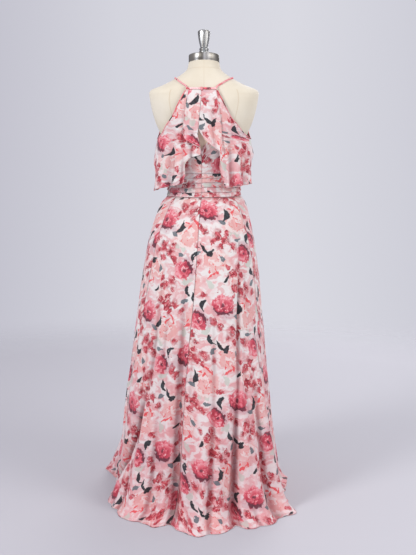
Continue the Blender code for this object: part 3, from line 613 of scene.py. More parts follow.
def overlay_reach(turn, z):
    least = form_reach(turn, z) + OVERLAY_EASE
    hanging = section_reach(OVERLAY, turn, z) + folds(OVERLAY_FOLDS, turn, z, OVERLAY_HEM)
    fine = creases(OVERLAY_CREASES, turn, z, OVERLAY_HEM)
    return larger(larger(hanging, least) + fine, least, 0.0015)


def strip_reach(turn, z):
    """The outer face of the strip along the back of the neck."""
    return overlay_reach(turn, z) + BINDING_FACE


def pleat_at(turn, z):
    """How many pleats lie above a place on the waistband."""
    level = np.sin(math.pi * (z - WAIST_SEAM) / (WAIST_TOP - WAIST_SEAM))
    wander = PLEAT_WANDER * wave(3 * turn + 40) + 0.0008 * wave(13 * turn + 20)
    return (WAIST_TOP - z + wander * level) / (WAIST_TOP - WAIST_SEAM) * PLEATS


def waistband_reach(turn, z):
    """Pleats that overlap downwards, each uneven and ruched round the waist."""
    place = pleat_at(turn, z)
    pleat = np.floor(place)
    part = np.clip(place - pleat, 0.0, 1.0)
    lip = np.where(part < 0.88, (part / 0.88) ** 1.5, ((1 - part) / 0.12) ** 0.7)
    ruche = wave(31 * turn + 57 * pleat) + 0.6 * wave(47 * turn + 91 * pleat)
    return form_reach(turn, z) + ROOT_EASE + (LIP_EASE - ROOT_EASE) * lip + 0.0004 * ruche * part


def points(reach, turn, z):
    """Points of a surface at turns and heights, as an array of x, y, z."""
    turn, z = np.broadcast_arrays(np.asarray(turn, float), np.asarray(z, float))
    far = reach(turn, z)
    angle = np.radians(turn)
    return np.stack([far * np.sin(angle), -far * np.cos(angle), z], axis=-1)


def turn_at(reach, x, z):
    """The turns at the back where a surface has given values of x."""
    x, z = np.broadcast_arrays(np.asarray(x, float), np.asarray(z, float))
    low, high = np.full(x.shape, -89.0), np.full(x.shape, 89.0)
    for _ in range(30):
        middle = (low + high) / 2
        short = reach(middle, z) * wave(middle) < x
        low, high = np.where(short, middle, low), np.where(short, high, middle)
    return (low + high) / 2


def skewed(turn):
    """A turn on the dress as a turn round the form: its back hangs to the left."""
    return turn + BACK_SKEW * np.clip(1 - np.abs(turn) / 90.0, 0.0, 1.0)


def seam_angle(radius):
    """Half a seam's gap, as a turn at a distance from the axis."""
    return np.degrees((SEAM + TURNED_IN) / 2 / radius)


# ---------------------------------------------------------------- shader nodes
class Wire:
    """A socket of a node tree. What is done with it adds a node, and gives that node's wire."""

    def __init__(self, tree, socket):
        self.tree, self.socket = tree, socket

    def math(self, operation, *others):
        return added(self.tree, "Math", dict(enumerate((self, *others))), operation=operation)

    def __add__(self, other):
        return self.math("ADD", other)

    def __sub__(self, other):
        return self.math("SUBTRACT", other)

    def __mul__(self, other):
        return self.math("MULTIPLY", other)

    def __truediv__(self, other):
        return self.math("DIVIDE", other)

    def __abs__(self):
        return self.math("ABSOLUTE")

    def sine(self):
        return self.math("SINE")

    def within(self, low, high):
        """Rises smoothly from 0 at low to 1 at high, or falls where high is the smaller."""
        return added(self.tree, "MapRange", {0: self, 1: low, 2: high}, interpolation_type="SMOOTHSTEP")

    def vector(self, operation, two=(0.0, 0.0, 0.0), three=(0.0, 0.0, 0.0)):
        """Arithmetic with vectors. A length comes back as a number."""
        second = "Scale" if operation == "SCALE" else 1
        output = "Value" if operation == "LENGTH" else "Vector"
        return added(self.tree, "VectorMath", {0: self, second: two, 2: three}, output, operation=operation)

    def flat(self):
        return self.vector("MULTIPLY", (1.0, 1.0, 0.0))

    def split(self):
        """Its x, y and z."""
        parts = added(self.tree, "SeparateXYZ", {0: self}).socket.node.outputs
        return [Wire(self.tree, part) for part in parts]

    def mapped(self, **places):
        return added(self.tree, "Mapping", dict(Vector=self, **places))

    def painted(self, mask, over, blend="MIX"):
        """A colour laid over this one where a mask says."""
        return added(self.tree, "Mix", {0: mask, 6: self, 7: over}, 2, data_type="RGBA", blend_type=blend)

    def ramp(self, *stops):
        """A colour ramp through stops of place and colour."""
        made = added(self.tree, "ValToRGB", {0: self})
        elements = made.socket.node.color_ramp.elements
        while len(elements) < len(stops):
            elements.new(0.5)
        for element, (place, code) in zip(elements, stops):
            element.position, element.color = place, colour(code)
        return made

    def clouds(self, size, detail=2.0, rough=0.5, stain=0.0, space="2D", output="Fac"):
        """Noise about a size across, from 0 to 1 and mostly near 0.5. 2D takes no heed of z."""
        inputs = dict(Vector=self, Scale=1 / size, Detail=detail, Roughness=rough, Distortion=stain)
        return added(self.tree, "TexNoise", inputs, output, noise_dimensions=space)

    def stirred(self, size, amount):
        """This place, moved about by clouds of a size, so that edges run unevenly."""
        shift = self.clouds(size, output="Color").vector("SUBTRACT", (0.5, 0.5, 0.5))
        return self.vector("ADD", shift.vector("SCALE", amount))

    def weave(self, pitch):
        """Height of a plain weave: threads both ways, each over and under."""
        warp, weft = (abs((way * (math.pi / pitch)).sine()) for way in self.split()[:2])
        return warp.math("MAXIMUM", weft)


def added(tree, kind, inputs, output=0, **settings):
    """A new node with its inputs and settings, as a wire from one of its outputs.

    An input is a wire, which is linked, or a number, a vector or a colour's code.
    A Mix node has its vectors in inputs 4 and 5 and its colours in 6 and 7.
    """
    node = tree.nodes.new("ShaderNode" + kind)
    for name, value in settings.items():
        setattr(node, name, value)
    for key, value in inputs.items():
        if isinstance(value, Wire):
            tree.links.new(value.socket, node.inputs[key])
        else:
            node.inputs[key].default_value = colour(value) if isinstance(value, str) else value
    return Wire(tree, node.outputs[output])


def colour(code):
    """A linear colour from its hexadecimal sRGB code."""
    parts = [int(code[i:i + 2], 16) / 255 for i in (1, 3, 5)]
    return (*[p / 12.92 if p <= 0.04045 else ((p + 0.055) / 1.055) ** 2.4 for p in parts], 1.0)


def length(x, y):
    """How far a place is from the middle."""
    return (x * x + y * y).math("SQRT")


def joined(x, y):
    return added(x.tree, "CombineXYZ", dict(X=x, Y=y))


def place_in(tree):
    """The place in the frame, in metres."""
    return added(tree, "TexCoord", {}, "Object")


# ---------------------------------------------------------------- print
# Motifs of one repeat of the print, listed in millimetres: the middle,
# half the length and width, the turn in degrees and how far a stroke bends.
REPEAT = (212.0, 338.0)    # width and height of a repeat
DROP = 124.0               # how far each column hangs below the one before
ROSES = chart("""
x y long wide turn bend
50 70 43 40 12
162 240 36 33 235
""")
PEONIES = chart("""
x y long wide turn bend
146 122 55 50
42 250 52 47 160
106 336 34 32 60
""")
CRIMSON = chart("""
x y long wide turn bend
104 18 21 16 30
132 32 16 20
126 0 13 9 -40
160 24 18 13 65
92 44 12 7 120
148 52 9 13 20
66 164 22 16 100
94 182 17 21 20
72 204 14 12
118 208 19 12 50
104 156 10 8
46 184 9 13 40
104 302 22 14 150
128 284 14 18
140 312 12 9 60
88 278 9 12 10
4 122 20 13 70
24 144 12 16
196 152 15 11 10
192 44 10 15 30
""")
CORAL = chart("""
x y long wide turn bend
160 70 4.4 28 -50 1.2
146 86 4.2 15 30 -0.8
176 82 3.8 11 10 0.5
132 74 3.4 10 -75 0.6
28 300 4.2 25 62 -1
44 290 3.8 13 -20 0.7
16 286 3.2 10 15 0.5
""")
DARK_LEAVES = chart("""
x y long wide turn bend
114 92 10.8 26 14 1.3
190 190 9.8 23 196 1.2
10 206 6.2 24 -28 -0.7
32 222 10.2 17 50 0.2
196 312 8.8 23 150 1.1
74 318 6 16 40 0.9
""")
GREY_LEAVES = chart("""
x y long wide turn bend
94 118 8 16 -62 0.3
196 10 8.6 17 52 -0.4
142 188 7 15 96 0.3
70 246 7.6 14 -20 0.4
""")
SAGE = chart("""
x y long wide turn bend
122 150 11 22 20 0.5
138 164 10 19 -50 0.4
186 276 12 23 60 0.5
12 330 11 20 -20 0.4
""")


def copies(table, reach):
    """Motifs of a table with those of their copies that reach into the cell of a repeat."""
    wide, tall = REPEAT
    for one in table:
        far = max(one.long, one.wide) * reach
        for aside in (-1, 0, 1):
            for below in (-1, 0, 1):
                x, y = one.x + aside * wide, one.y + aside * DROP + below * tall
                if -far < x < wide + far and -far < y < tall + far:
                    yield one._replace(x=x, y=y)


def nearest(cell, table, reach=1.3):
    """A place from the nearest motif of a table, in its own sizes, and how far off that is."""
    chosen = closest = None
    for one in copies(table, reach):
        place = dict(Vector=cell, Location=(one.x, one.y, -one.bend),
                     Rotation=(0.0, 0.0, math.radians(one.turn)), Scale=(one.long, one.wide, 1.0))
        local = added(cell.tree, "Mapping", place, vector_type="TEXTURE")
        far = local.flat().vector("LENGTH")
        if chosen is None:
            chosen, closest = local, far
        else:
            nearer = far.math("LESS_THAN", closest)
            chosen = added(cell.tree, "Mix", {0: nearer, 4: chosen, 5: local}, 1, data_type="VECTOR")
            closest = closest.math("MINIMUM", far)
        # The next step waits for this one, so that few values are held at a time.
        cell = closest.vector("MULTIPLY_ADD", (1e-6, 1e-6, 0.0), cell)
    return *chosen.split(), closest


def strokes(cell, table, rough):
    """A mask of pointed brush strokes, heavier at one end and bent to a side."""
    off, along, bend, _ = nearest(cell, table)
    square = along * along
    body = (square * -1.0 + 1.0) * (along * 0.5 + 0.9)
    out = abs(off + (square - 0.4) * bend) - body + rough
    return out.within(0.08, -0.08) * abs(along).within(1.0, 0.97)


def rose(cell, under, uneven, broad, broken):
    """Roses: light above, dark below, with flecks, a dark heart and a plum crescent."""
    x, y, _, r = nearest(cell, ROSES, 1.5)
    shadow = (r + (broad - 0.5) * 1.2).within(1.45, 0.95) * y.within(-0.2, 0.7)
    turn = y.math("ARCTAN2", x)
    lobes = (turn * 5.0 + 1.0).sine() * 0.05
    body = (r + lobes + uneven * 0.6).within(1.0, 0.90)
    whorl = (r * 10.0 - turn + uneven * 9.0).sine()
    dye = (y * 0.34 + 0.5 + uneven * 0.9 - whorl * 0.13).ramp(
        (0.16, "#F5A5AD"), (0.36, "#E97684"), (0.54, "#DA5366"), (0.74, "#BE3A50"), (0.92, "#9F2C42"))
    heart = length(x + 0.08, y - 0.05) + uneven * 0.35
    hollow = length(x, y + 0.42) + uneven * 0.35
    crescent = hollow.within(1.02, 1.12) * y.within(0.15, 0.35) * (r + uneven * 0.5).within(1.02, 0.88)
    dye = dye.painted(whorl.within(0.93, 0.99) * broken * 0.9, "#FBE9E8")
    dye = dye.painted(heart.within(0.19, 0.10) * 0.9, "#6E2A3E").painted(crescent * 0.9, "#5C2C3C")
    return under.painted(shadow * 0.6, "#CFAAB2").painted(body * 0.96, dye)


def peony(cell, under, uneven, broad, broken):
    """Pale peonies: blush, white petals and a few quick coral arcs."""
    x, y, _, r = nearest(cell, PEONIES, 1.4)
    turn = y.math("ARCTAN2", x)
    edge = r + (broad - 0.5) * 1.3
    whorl = (r * 8.0 + turn + uneven * 5.0 + (broad - 0.5) * 6.0).sine()
    arcs = (whorl * whorl).within(0.10, 0.02) * (edge + uneven).within(0.85, 0.60) * broken
    under = under.painted(edge.within(1.10, 0.60) * 0.8, "#EFB4B0")
    under = under.painted(whorl.within(0.35, 0.80) * edge.within(1.10, 0.80) * 0.8, "#F5E8E5")
    return under.painted(arcs * 0.85, "#EC6266")


def specked(spot, under):
    """Pale specks strewn over a colour, and a few dark ones."""
    cells = added(spot.tree, "TexVoronoi", dict(Vector=spot, Scale=1 / 0.018), "Position",
                  voronoi_dimensions="2D")
    off = spot.flat().vector("SUBTRACT", cells).vector("LENGTH")
    random = Wire(spot.tree, cells.socket.node.outputs["Color"])
    chance = added(spot.tree, "SeparateColor", dict(Color=random))
    under = under.painted(off.within(0.0013, 0.0008) * chance.within(0.22, 0.20), "#FBF3F2")
    return under.painted(off.within(0.0014, 0.0009) * chance.within(0.93, 0.95), "#A8404F")


def printed(spot):
    """The whole print at a place on the flat cloth, in metres."""
    wet = spot.stirred(0.022, 0.012).stirred(0.0055, 0.0034)
    x, y, _ = wet.split()
    across, down = x * 1000.0, y * -1000.0
    aside = (across / REPEAT[0]).math("FLOOR")
    cell = joined(across - aside * REPEAT[0], (down - aside * DROP).math("WRAP", REPEAT[1], 0.0))
    rough, broad = wet.clouds(0.011) - 0.5, wet.clouds(0.040)
    broken = wet.clouds(0.016, 1.0).within(0.48, 0.55)
    pool = wet.clouds(0.013, stain=0.6)
    ground = wet.clouds(0.070, 3.0, 0.55, 0.8).ramp(
        (0.36, "#ECB1B3"), (0.45, "#EFC1C2"), (0.52, "#F0D5D5"), (0.59, "#F0E9E7"))
    brushed = wet.mapped(Rotation=(0.0, 0.0, 0.9), Scale=(1.0, 1.8, 1.0)).clouds(0.046, stain=0.8)
    ground = ground.painted(brushed.within(0.53, 0.60) * 0.8, "#F2EEEC")
    ground = ground.painted(brushed.within(0.43, 0.39) * 0.65, "#E8A9AB")
    made = ground.painted(strokes(cell, SAGE, rough) * 0.85, "#D0D5CB")
    made = peony(cell, made, rough, broad, broken)
    made = made.painted(strokes(cell, CORAL, rough * 2.2) * 0.92, "#EE565C")
    far = nearest(cell, CRIMSON, 1.5)[3] + rough * 1.1
    soft = broad.within(0.44, 0.60) * 0.45 + 0.06
    blot = ((far * -1.0 + 0.93) / soft * 0.5 + 0.5).math("MINIMUM", 1.0).math("MAXIMUM", 0.0)
    dye = pool.ramp((0.33, "#8E1128"), (0.44, "#B8273F"), (0.55, "#CB4852"), (0.68, "#DD707B"))
    made = made.painted(blot * 0.94, dye)
    fleck = abs(rough).within(0.026, 0.013) * broken * far.within(1.6, 1.1)
    made = made.painted(fleck * 0.8, "#FAEBE8")
    made = made.painted(strokes(cell, GREY_LEAVES, rough * 0.8) * 0.95, "#6F7B81")
    made = rose(cell, made, rough, broad, broken)
    dark = pool.ramp((0.40, "#1C2027"), (0.60, "#2F3940"))
    made = made.painted(strokes(cell, DARK_LEAVES, rough * 0.8) * 0.97, dark)
    return specked(wet, made)


def print_group():
    """The print as a node group, shared by every material of the dress."""
    tree = bpy.data.node_groups.new("watercolour_print", "ShaderNodeTree")
    tree.interface.new_socket("Spot", in_out="INPUT", socket_type="NodeSocketVector")
    tree.interface.new_socket("Color", in_out="OUTPUT", socket_type="NodeSocketColor")
    start = tree.nodes.new("NodeGroupInput")
    end = tree.nodes.new("NodeGroupOutput")
    tree.links.new(printed(Wire(tree, start.outputs[0])).socket, end.inputs[0])
    return tree


PRINT = print_group()


# ---------------------------------------------------------------- materials
def material(name, roughness, metallic=0.0, sheen=0.0, specular=0.5):
    """A new material with its constants on its shader: the material and its tree."""
    made = bpy.data.materials.new(name)
    made.use_nodes = True
    shader = made.node_tree.nodes["Principled BSDF"]
    shader.inputs["Roughness"].default_value = roughness
    shader.inputs["Metallic"].default_value = metallic
    shader.inputs["Specular IOR Level"].default_value = specular
    shader.inputs["Sheen Weight"].default_value = sheen
    shader.inputs["Sheen Roughness"].default_value = 0.45
    return made, made.node_tree


def finished(made, base_colour, height, distance, strength):
    """A material with its colour, and bump from a height of 0 to 1 that stands for a distance."""
    tree = made.node_tree
    raised = added(tree, "Bump", dict(Distance=distance, Strength=strength, Height=height))
    shader = tree.nodes["Principled BSDF"]
    tree.links.new(raised.socket, shader.inputs["Normal"])
    tree.links.new(base_colour.socket, shader.inputs["Base Color"])
    return made


def on_cloth(tree):
    """A place on the flat cloth, and the print there."""
    spot = added(tree, "UVMap", {}, uv_map="flat")
    return spot, added(tree, "Group", {0: spot}, node_tree=PRINT)


def chiffon(name, faded):
    """Printed chiffon over its lining, with painted shade in its folds, under its pleats and along its
    seams. faded is the wrong side, where the print shows pale.
    """
    made, tree = material(name, 0.78, sheen=0.18, specular=0.22)
    spot, base_colour = on_cloth(tree)
    if faded:
        base_colour = base_colour.painted(faded, "#F6E4E3")
    along, inside, _ = added(tree, "UVMap", {}, uv_map="edge").split()
    turned_up = inside.within(0.0052, 0.0046)
    dash = (along * (math.tau / 0.0028)).sine().within(-0.5, -0.2)
    stitch = abs(inside - 0.0042).within(0.0005, 0.0002) * dash
    # depth is how deep in a fold or under a pleat's lip a point lies, and from_seam how far it is from a
    # seam: both set painted shade below.
    depth, from_seam, _ = added(tree, "UVMap", {}, uv_map="fold").split()
    sewn = from_seam.within(0.0024, 0.0006)
    # Low down, towards the hem, the cloth is tinted darker and pinker.
    low = place_in(tree).split()[2].within(0.75, 0.10)
    base_colour = base_colour.painted(turned_up * 0.10, "#C98C94").painted(stitch * 0.6, "#F3DADB")
    # Multiplied in: painted shade in fold troughs and under pleat lips, painted shade along the seams, the
    # pinker tint low down, and a dimming of the whole.
    for mask, tint in ((depth.within(0.5, 1.0) * 0.7, "#B0848B"), (sewn * 0.26, "#9A5F69"),
                       (low, "#FCEEF1"), (1.0, "#E6E6E5")):
        base_colour = base_colour.painted(mask, tint, "MULTIPLY")
    height = (spot.clouds(0.016, 3.0, 0.6) * 0.75 + spot.weave(0.0005) * 0.05
              + turned_up * 0.10 + stitch * 0.10 - sewn * 0.12)
    return finished(made, base_colour, height, 0.0030, 0.55)


def binding_cloth(name, reddened):
    """Bias-cut print in the rolled bindings and straps, with a little more sheen."""
    made, tree = material(name, 0.62, sheen=0.25, specular=0.30)
    spot, base_colour = on_cloth(tree)
    twist = added(tree, "TexWave", dict(Vector=spot, Scale=160.0, Distortion=2.0, Detail=1.0), "Fac",
                  bands_direction="DIAGONAL")
    height = twist * 0.6 + spot.clouds(0.004, space="3D") * 0.4
    return finished(made, base_colour.painted(reddened, "#E0566C", "MULTIPLY"), height, 0.0006, 0.6)


def linen():
    """Unbleached linen over the form, with slubs and the seams of its panels, painted shade in the seams'
    grooves and painted light under the overlay.
    """
    made, tree = material("linen", 0.88, sheen=0.15, specular=0.25)
    place = place_in(tree)
    x, y, z = place.split()
    turn = abs(x).math("ARCTAN2", y * -1.0)
    around = joined(turn * 0.11, z)
    slub, upright = (around.mapped(Scale=stretch).clouds(0.045, 3.0, space="3D")
                     for stretch in ((1.0, 14.0, 1.0), (14.0, 1.0, 1.0)))
    shade = slub * 0.15 + upright * 0.1 + place.clouds(0.12, space="3D") * 0.75
    base_colour = shade.ramp((0.36, "#CDC4B1"), (0.5, "#D2CAB8"), (0.64, "#D7D0C0"))
    # How far the nearest seam is: the centre back and front, each shoulder
    # blade, the bust, the side and the collar.
    bust = z.within(1.20, 1.46) * -0.18 + 2.52
    gap = turn * 0.1
    for other in ((turn * -1.0 + math.pi) * 0.07,
                  abs((turn - z + 0.53) * 0.1) + z.within(1.480, 1.486),
                  abs((turn - bust) * 0.1),
                  abs((turn - math.pi / 2) * 0.15),
                  abs(z + y * NECK_TILT * 0.9 - 1.545)):
        gap = gap.math("MINIMUM", other)
    groove = gap.within(0.0016, 0.0004)
    # Painted light: under the sheer overlay the warm light that comes through it is painted into the
    # linen's colour.
    painted_veil_light = z.within(1.46, 1.40) * z.within(1.10, 1.14) * turn.within(0.50, 0.35)
    # The painted light under the overlay, then painted shade in the seams' grooves.
    base_colour = base_colour.painted(painted_veil_light, "#FFE4CB").painted(groove * 0.40, "#BBA78A")
    pucker = gap.within(0.006, 0.001) * place.clouds(0.006, space="3D") * 0.3
    height = around.weave(0.0011) * 0.05 + slub * 0.06 + pucker - groove * 0.4
    return finished(made, base_colour, height, 0.0012, 0.5)


def steel(name, reflections, rough, brushed):
    """Brushed steel: painted reflections as upright light and dark bands from its left side round to its
    right, and fine brush lines.

    The painted reflections of the first and last band also run on round the far side, where clouds take
    over.
    """
    made, tree = material(name, rough, metallic=1.0)
    x, y, z = place_in(tree).split()
    turn = x.math("ARCTAN2", (y - FORM[-1].shift) * -1.0)
    round_way = joined(turn, z * 0.8)
    lines = round_way.mapped(Scale=(1.0, 0.5, 1.0)).clouds(0.035)
    # Painted reflections, by how far round the axis each point is.
    near_reflections = (turn / math.tau + 0.5 + (lines - 0.5) * 0.006).ramp(*reflections)
    far = (round_way.clouds(0.42, 1.0) * 0.8 + lines * 0.2).ramp(
        (0.36, reflections[0][1]), (0.48, reflections[-2][1]), (0.62, reflections[2][1]))
    tree.links.new((lines * brushed + rough).socket, tree.nodes["Principled BSDF"].inputs["Roughness"])
    return finished(made, near_reflections.painted(abs(turn).within(1.45, 1.75), far), lines, 0.0001, brushed)


def zip_tape():
    """Woven polyester tape, ribbed across."""
    made, tree = material("zip_tape", 0.70, sheen=0.1, specular=0.3)
    ribs = place_in(tree).weave(0.0006)
    return finished(made, ribs.ramp((0.0, "#DDBDBD"), (1.0, "#EAD3D2")), ribs, 0.0002, 0.5)


def zip_metal():
    """Painted metal, a little worn in patches."""
    made, tree = material("zip_metal", 0.35, specular=0.6)
    place = place_in(tree)
    worn = place.clouds(0.003, 3.0, space="3D").within(0.60, 0.66) * 0.5
    base_colour = worn.ramp((0.0, "#DEBCC1"), (1.0, "#B9A6A8"))
    return finished(made, base_colour, place.clouds(0.002, space="3D"), 0.0002, 0.4)


LOOKS = {
    "chiffon": chiffon("chiffon", faded=0.0), "lining": chiffon("lining", faded=0.72),
    "binding": binding_cloth("binding", 0.65), "neck_binding": binding_cloth("neck_binding", 0.20),
    "linen": linen(),
    "steel": steel("steel", CAP_REFLECTIONS, 0.40, 0.10), "finial": steel("finial", FINIAL_REFLECTIONS, 0.42, 0.02),
    "zip_tape": zip_tape(), "zip_metal": zip_metal(),
}


# ---------------------------------------------------------------- making
def placed(name, data, place=(0.0, 0.0, 0.0), turned_by=(0.0, 0.0, 0.0)):
    made = bpy.data.objects.new(name, data)
    made.location, made.rotation_euler = place, turned_by
    bpy.context.scene.collection.objects.link(made)
    return made


def put(name, mesh, node, slot, *looks):
    """A piece made of a mesh, which stands for a node and rides on the body."""
    made = placed(name, mesh)
    for look in looks:
        mesh.materials.append(LOOKS[look])
    mesh.shade_smooth()
    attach(made, "root")
    if node:
        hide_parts(node)
    return made


def quads(rows, columns, closed=False):
    """Faces of a grid of points, row by row. closed joins the last column to the first."""
    row = np.arange(rows - 1)[:, None] * columns
    place = np.arange(columns if closed else columns - 1)[None, :]
    after = (place + 1) % columns
    faces = np.stack([row + place, row + columns + place, row + columns + after, row + after], axis=-1)
    return faces.reshape(-1, 4).tolist()


def tube(rings, columns):
    """Faces through rings of points, with a cap at each end."""
    count = rings * columns
    return quads(rings, columns, closed=True) + [
        list(range(columns)), list(reversed(range(count - columns, count)))]


def mesh_of(name, vertices, faces):
    mesh = bpy.data.meshes.new(name)
    mesh.from_pydata(vertices.reshape(-1, 3).tolist(), [], faces)
    mesh.update()
    return mesh


def written(shape, mesh):
    """Writes an edited shape to a mesh."""
    shape.to_mesh(mesh)
    shape.free()
    return mesh


def lay(mesh, name, values):
    """A UV map from a pair of numbers for each vertex."""
    layer = mesh.uv_layers.new(name=name)
    corners = np.empty(len(mesh.loops), dtype=np.int64)
    mesh.loops.foreach_get("vertex_index", corners)
    layer.data.foreach_set("uv", values.reshape(-1, 2)[corners].ravel())


def along_path(path):
    """How far along a path each of its points is."""
    return np.pad(np.cumsum(np.linalg.norm(np.diff(path, axis=0), axis=1)), (1, 0))


def unit(vectors):
    return vectors / np.linalg.norm(vectors, axis=1)[:, None]


def facing(vectors, way):
    """Vectors made 1 long, each flipped where it points against another."""
    return unit(vectors * np.sign(np.sum(vectors * way, axis=1))[:, None])


def laid_flat(grid):
    """How far each point of a sheet is from its middle column and its top row."""
    across = np.linalg.norm(np.diff(grid, axis=1), axis=2)
    across = np.pad(np.cumsum(across, axis=1), ((0, 0), (1, 0)))
    across -= across[:, grid.shape[1] // 2][:, None]
    down = np.linalg.norm(np.diff(grid, axis=0), axis=2).mean(axis=1)
    down = np.pad(np.cumsum(down), (1, 0))[:, None]
    return across, np.broadcast_to(down, across.shape)


def sunk(grid, wide=0.035):
    """How deep in a fold each point of a sheet lies: 0 on the ridges and 1 in the troughs, where the
    chiffon is painted darker as shade.
    """
    reach = np.hypot(grid[..., 0], grid[..., 1])
    half = max(int(wide / np.linalg.norm(np.diff(grid, axis=1), axis=2).mean()), 1)
    summed = np.cumsum(np.pad(reach, ((0, 0), (half + 1, half)), mode="edge"), axis=1)
    level = (summed[:, 2 * half + 1:] - summed[:, :-2 * half - 1]) / (2 * half + 1)
    return np.clip(0.5 + (level - reach) / 0.016, 0.0, 1.0)


def cut_from(name, across, down):
    """The place in the print of a place on a piece of cloth."""
    cut = PIECES[name]
    sine, cosine = math.sin(math.radians(cut.turn)), math.cos(math.radians(cut.turn))
    return np.stack([cut.across + across * cosine + down * sine,
                     -cut.down - down * cosine + across * sine], axis=-1)


def walled(made, thick, inside=0):
    """Gives a sheet its wall. inside counts on from the outer look to the inner one."""
    wall = made.modifiers.new("wall", "SOLIDIFY")
    wall.thickness = thick
    wall.offset = -1.0
    wall.material_offset = inside
    return made


def shell(name, grid, hem=True, sewn=True, slot="chiffon", thick=SHELL, pleats=None, look=None):
    """Thin cloth through a grid of points, with its flat layout, its distance from hem and seams, and where
    the chiffon gets painted shade.

    hem says that its last row is a free hem, and sewn that its sides are seams, along which the chiffon is
    painted darker as shade.
    pleats is how many pleats lie above each point; the chiffon gets painted shade under each pleat's lip.
    """
    mesh = mesh_of(name, grid, quads(*grid.shape[:2]))
    across, down = laid_flat(grid)
    # depth goes into the "fold" map: where it is high, in the troughs of folds, the chiffon gets painted
    # shade.
    hidden, depth = 0.0, sunk(grid)
    if pleats is not None:
        hidden = HIDDEN_IN_PLEAT * np.floor(pleats)
        # In pleats the painted shade is darkest just under the lip of the pleat above.
        depth = 0.9 - 3.0 * (pleats % 1.0)
    inside = down[-1, 0] - down if hem else np.ones_like(down)
    # from_side also goes into the "fold" map, for painted shade along sewn sides.
    from_side = np.minimum(across - across[:, :1], across[:, -1:] - across) if sewn else across + 1.0
    lay(mesh, "flat", cut_from(name, across, down + hidden))
    lay(mesh, "edge", np.stack([across, inside], axis=-1))
    lay(mesh, "fold", np.stack([depth, from_side], axis=-1))
    outer = look or slot
    inner = "lining" if slot == "chiffon" else outer
    return walled(put(name + "_cloth", mesh, name, slot, outer, inner), thick, inside=1)


def rolled(name, path, radius, sides, slot, node=None, cut=None, look=None, flatten=1.0):
    """A rolled edge, binding or strap along a path, printed along its length."""
    along = unit(np.gradient(path, axis=0))
    outward = unit(path * (1.0, 1.0, 0.0))
    outward = unit(outward - along * np.sum(outward * along, axis=1)[:, None])
    across = np.cross(along, outward)
    angles = (np.arange(sides) * math.tau / sides)[None, :, None]
    ring = (np.cos(angles) * across[:, None, :] + flatten * np.sin(angles) * outward[:, None, :]) * radius
    vertices = path[:, None, :] + ring
    mesh = mesh_of(name, vertices, tube(len(path), sides))
    girth = np.abs(angles[..., 0] - math.pi) * radius
    down, side = np.broadcast_arrays(along_path(path)[:, None], girth)
    lay(mesh, "flat", cut_from(cut or name, side, down))
    lay(mesh, "edge", np.ones((vertices.size // 3, 2)))
    lay(mesh, "fold", np.full((vertices.size // 3, 2), 0.4))
    fixed = bmesh.new()
    fixed.from_mesh(mesh)
    bmesh.ops.recalc_face_normals(fixed, faces=fixed.faces)
    return put(name + "_rolled" if node else name, written(fixed, mesh), node, slot, look or slot)


def edging(piece, kind, path):
    """The rolled hem or free edge of a piece of cloth."""
    return rolled(f"{piece}_{kind}", path, ROLLED_HEM, 8, "chiffon", cut=piece)


def spline(path, count):
    """A smooth path through points, at many even steps."""
    Knot = namedtuple("Knot", "at x y z")
    run = along_path(path)
    knots = [Knot(at, *place) for at, place in zip(run, path)]
    return np.stack(columns(knots, "x y z", np.linspace(0.0, run[-1], count)), axis=-1)


# ---------------------------------------------------------------- dress form
def torso():
    """The stuffed torso and neck, smooth, with linen over it."""
    shoulder = 1.44
    heights = np.concatenate([np.linspace(FORM[0].z, shoulder, 50)[:-1],
                              np.linspace(shoulder, FORM[-1].z, 40)])[:, None]
    turns = np.arange(112) * 360.0 / 112
    rings = points(form_reach, turns, heights)
    shift, tilt = columns(FORM, "shift tilt", heights)
    rings[..., 1] += shift
    rings[..., 2] -= tilt * rings[..., 1]
    mesh = mesh_of("form_torso", rings, [face[::-1] for face in tube(len(heights), len(turns))])
    made = put("form_torso_linen", mesh, "form_torso", "linen", "linen")
    foot = mesh.polygons[len(mesh.polygons) - 2]
    foot.use_smooth = False


def turned(name, profile, look, place, lean, flutes=0, flute_depth=0.0, steps=96):
    """A round piece of steel: a profile turned about its own axis, then leant and moved.

    Flutes run up between 0.35 and 0.95 of its height.
    """
    radius, height = np.array(profile[1:-1]).T[:, :, None]
    angle = np.arange(steps) * math.tau / steps
    fluted = np.sin(math.pi * np.clip((height / profile[0][1] - 0.35) / 0.6, 0.0, 1.0)) ** 0.5
    radius = radius * (1 - flute_depth * fluted * np.abs(np.sin(flutes * angle / 2)) ** 0.8)
    x, y, z = np.broadcast_arrays(radius * np.cos(angle), radius * np.sin(angle), height)
    sine, cosine = math.sin(lean), math.cos(lean)
    rings = np.stack([x, y * cosine - z * sine, y * sine + z * cosine], axis=-1) + place
    put(name + "_steel", mesh_of(name, rings, tube(len(rings), steps)), name, "steel", look)


def neck_hardware():
    top = FORM[-1]
    lean = -math.atan(NECK_TILT)
    along = np.array([0.0, -math.sin(lean), math.cos(lean)])
    seat = np.array([0.0, top.shift, top.z - NECK_TILT * top.shift])
    turned("neck_cap", CAP_PROFILE, "steel", seat + SEAM * along, lean)
    turned("finial", FINIAL, "finial", seat + (CAP_HEIGHT + 2 * SEAM) * along, lean, 8, 0.05)


# ---------------------------------------------------------------- dress
PANELS = ("back_left", "back_right", "front")   # in the order of their turns


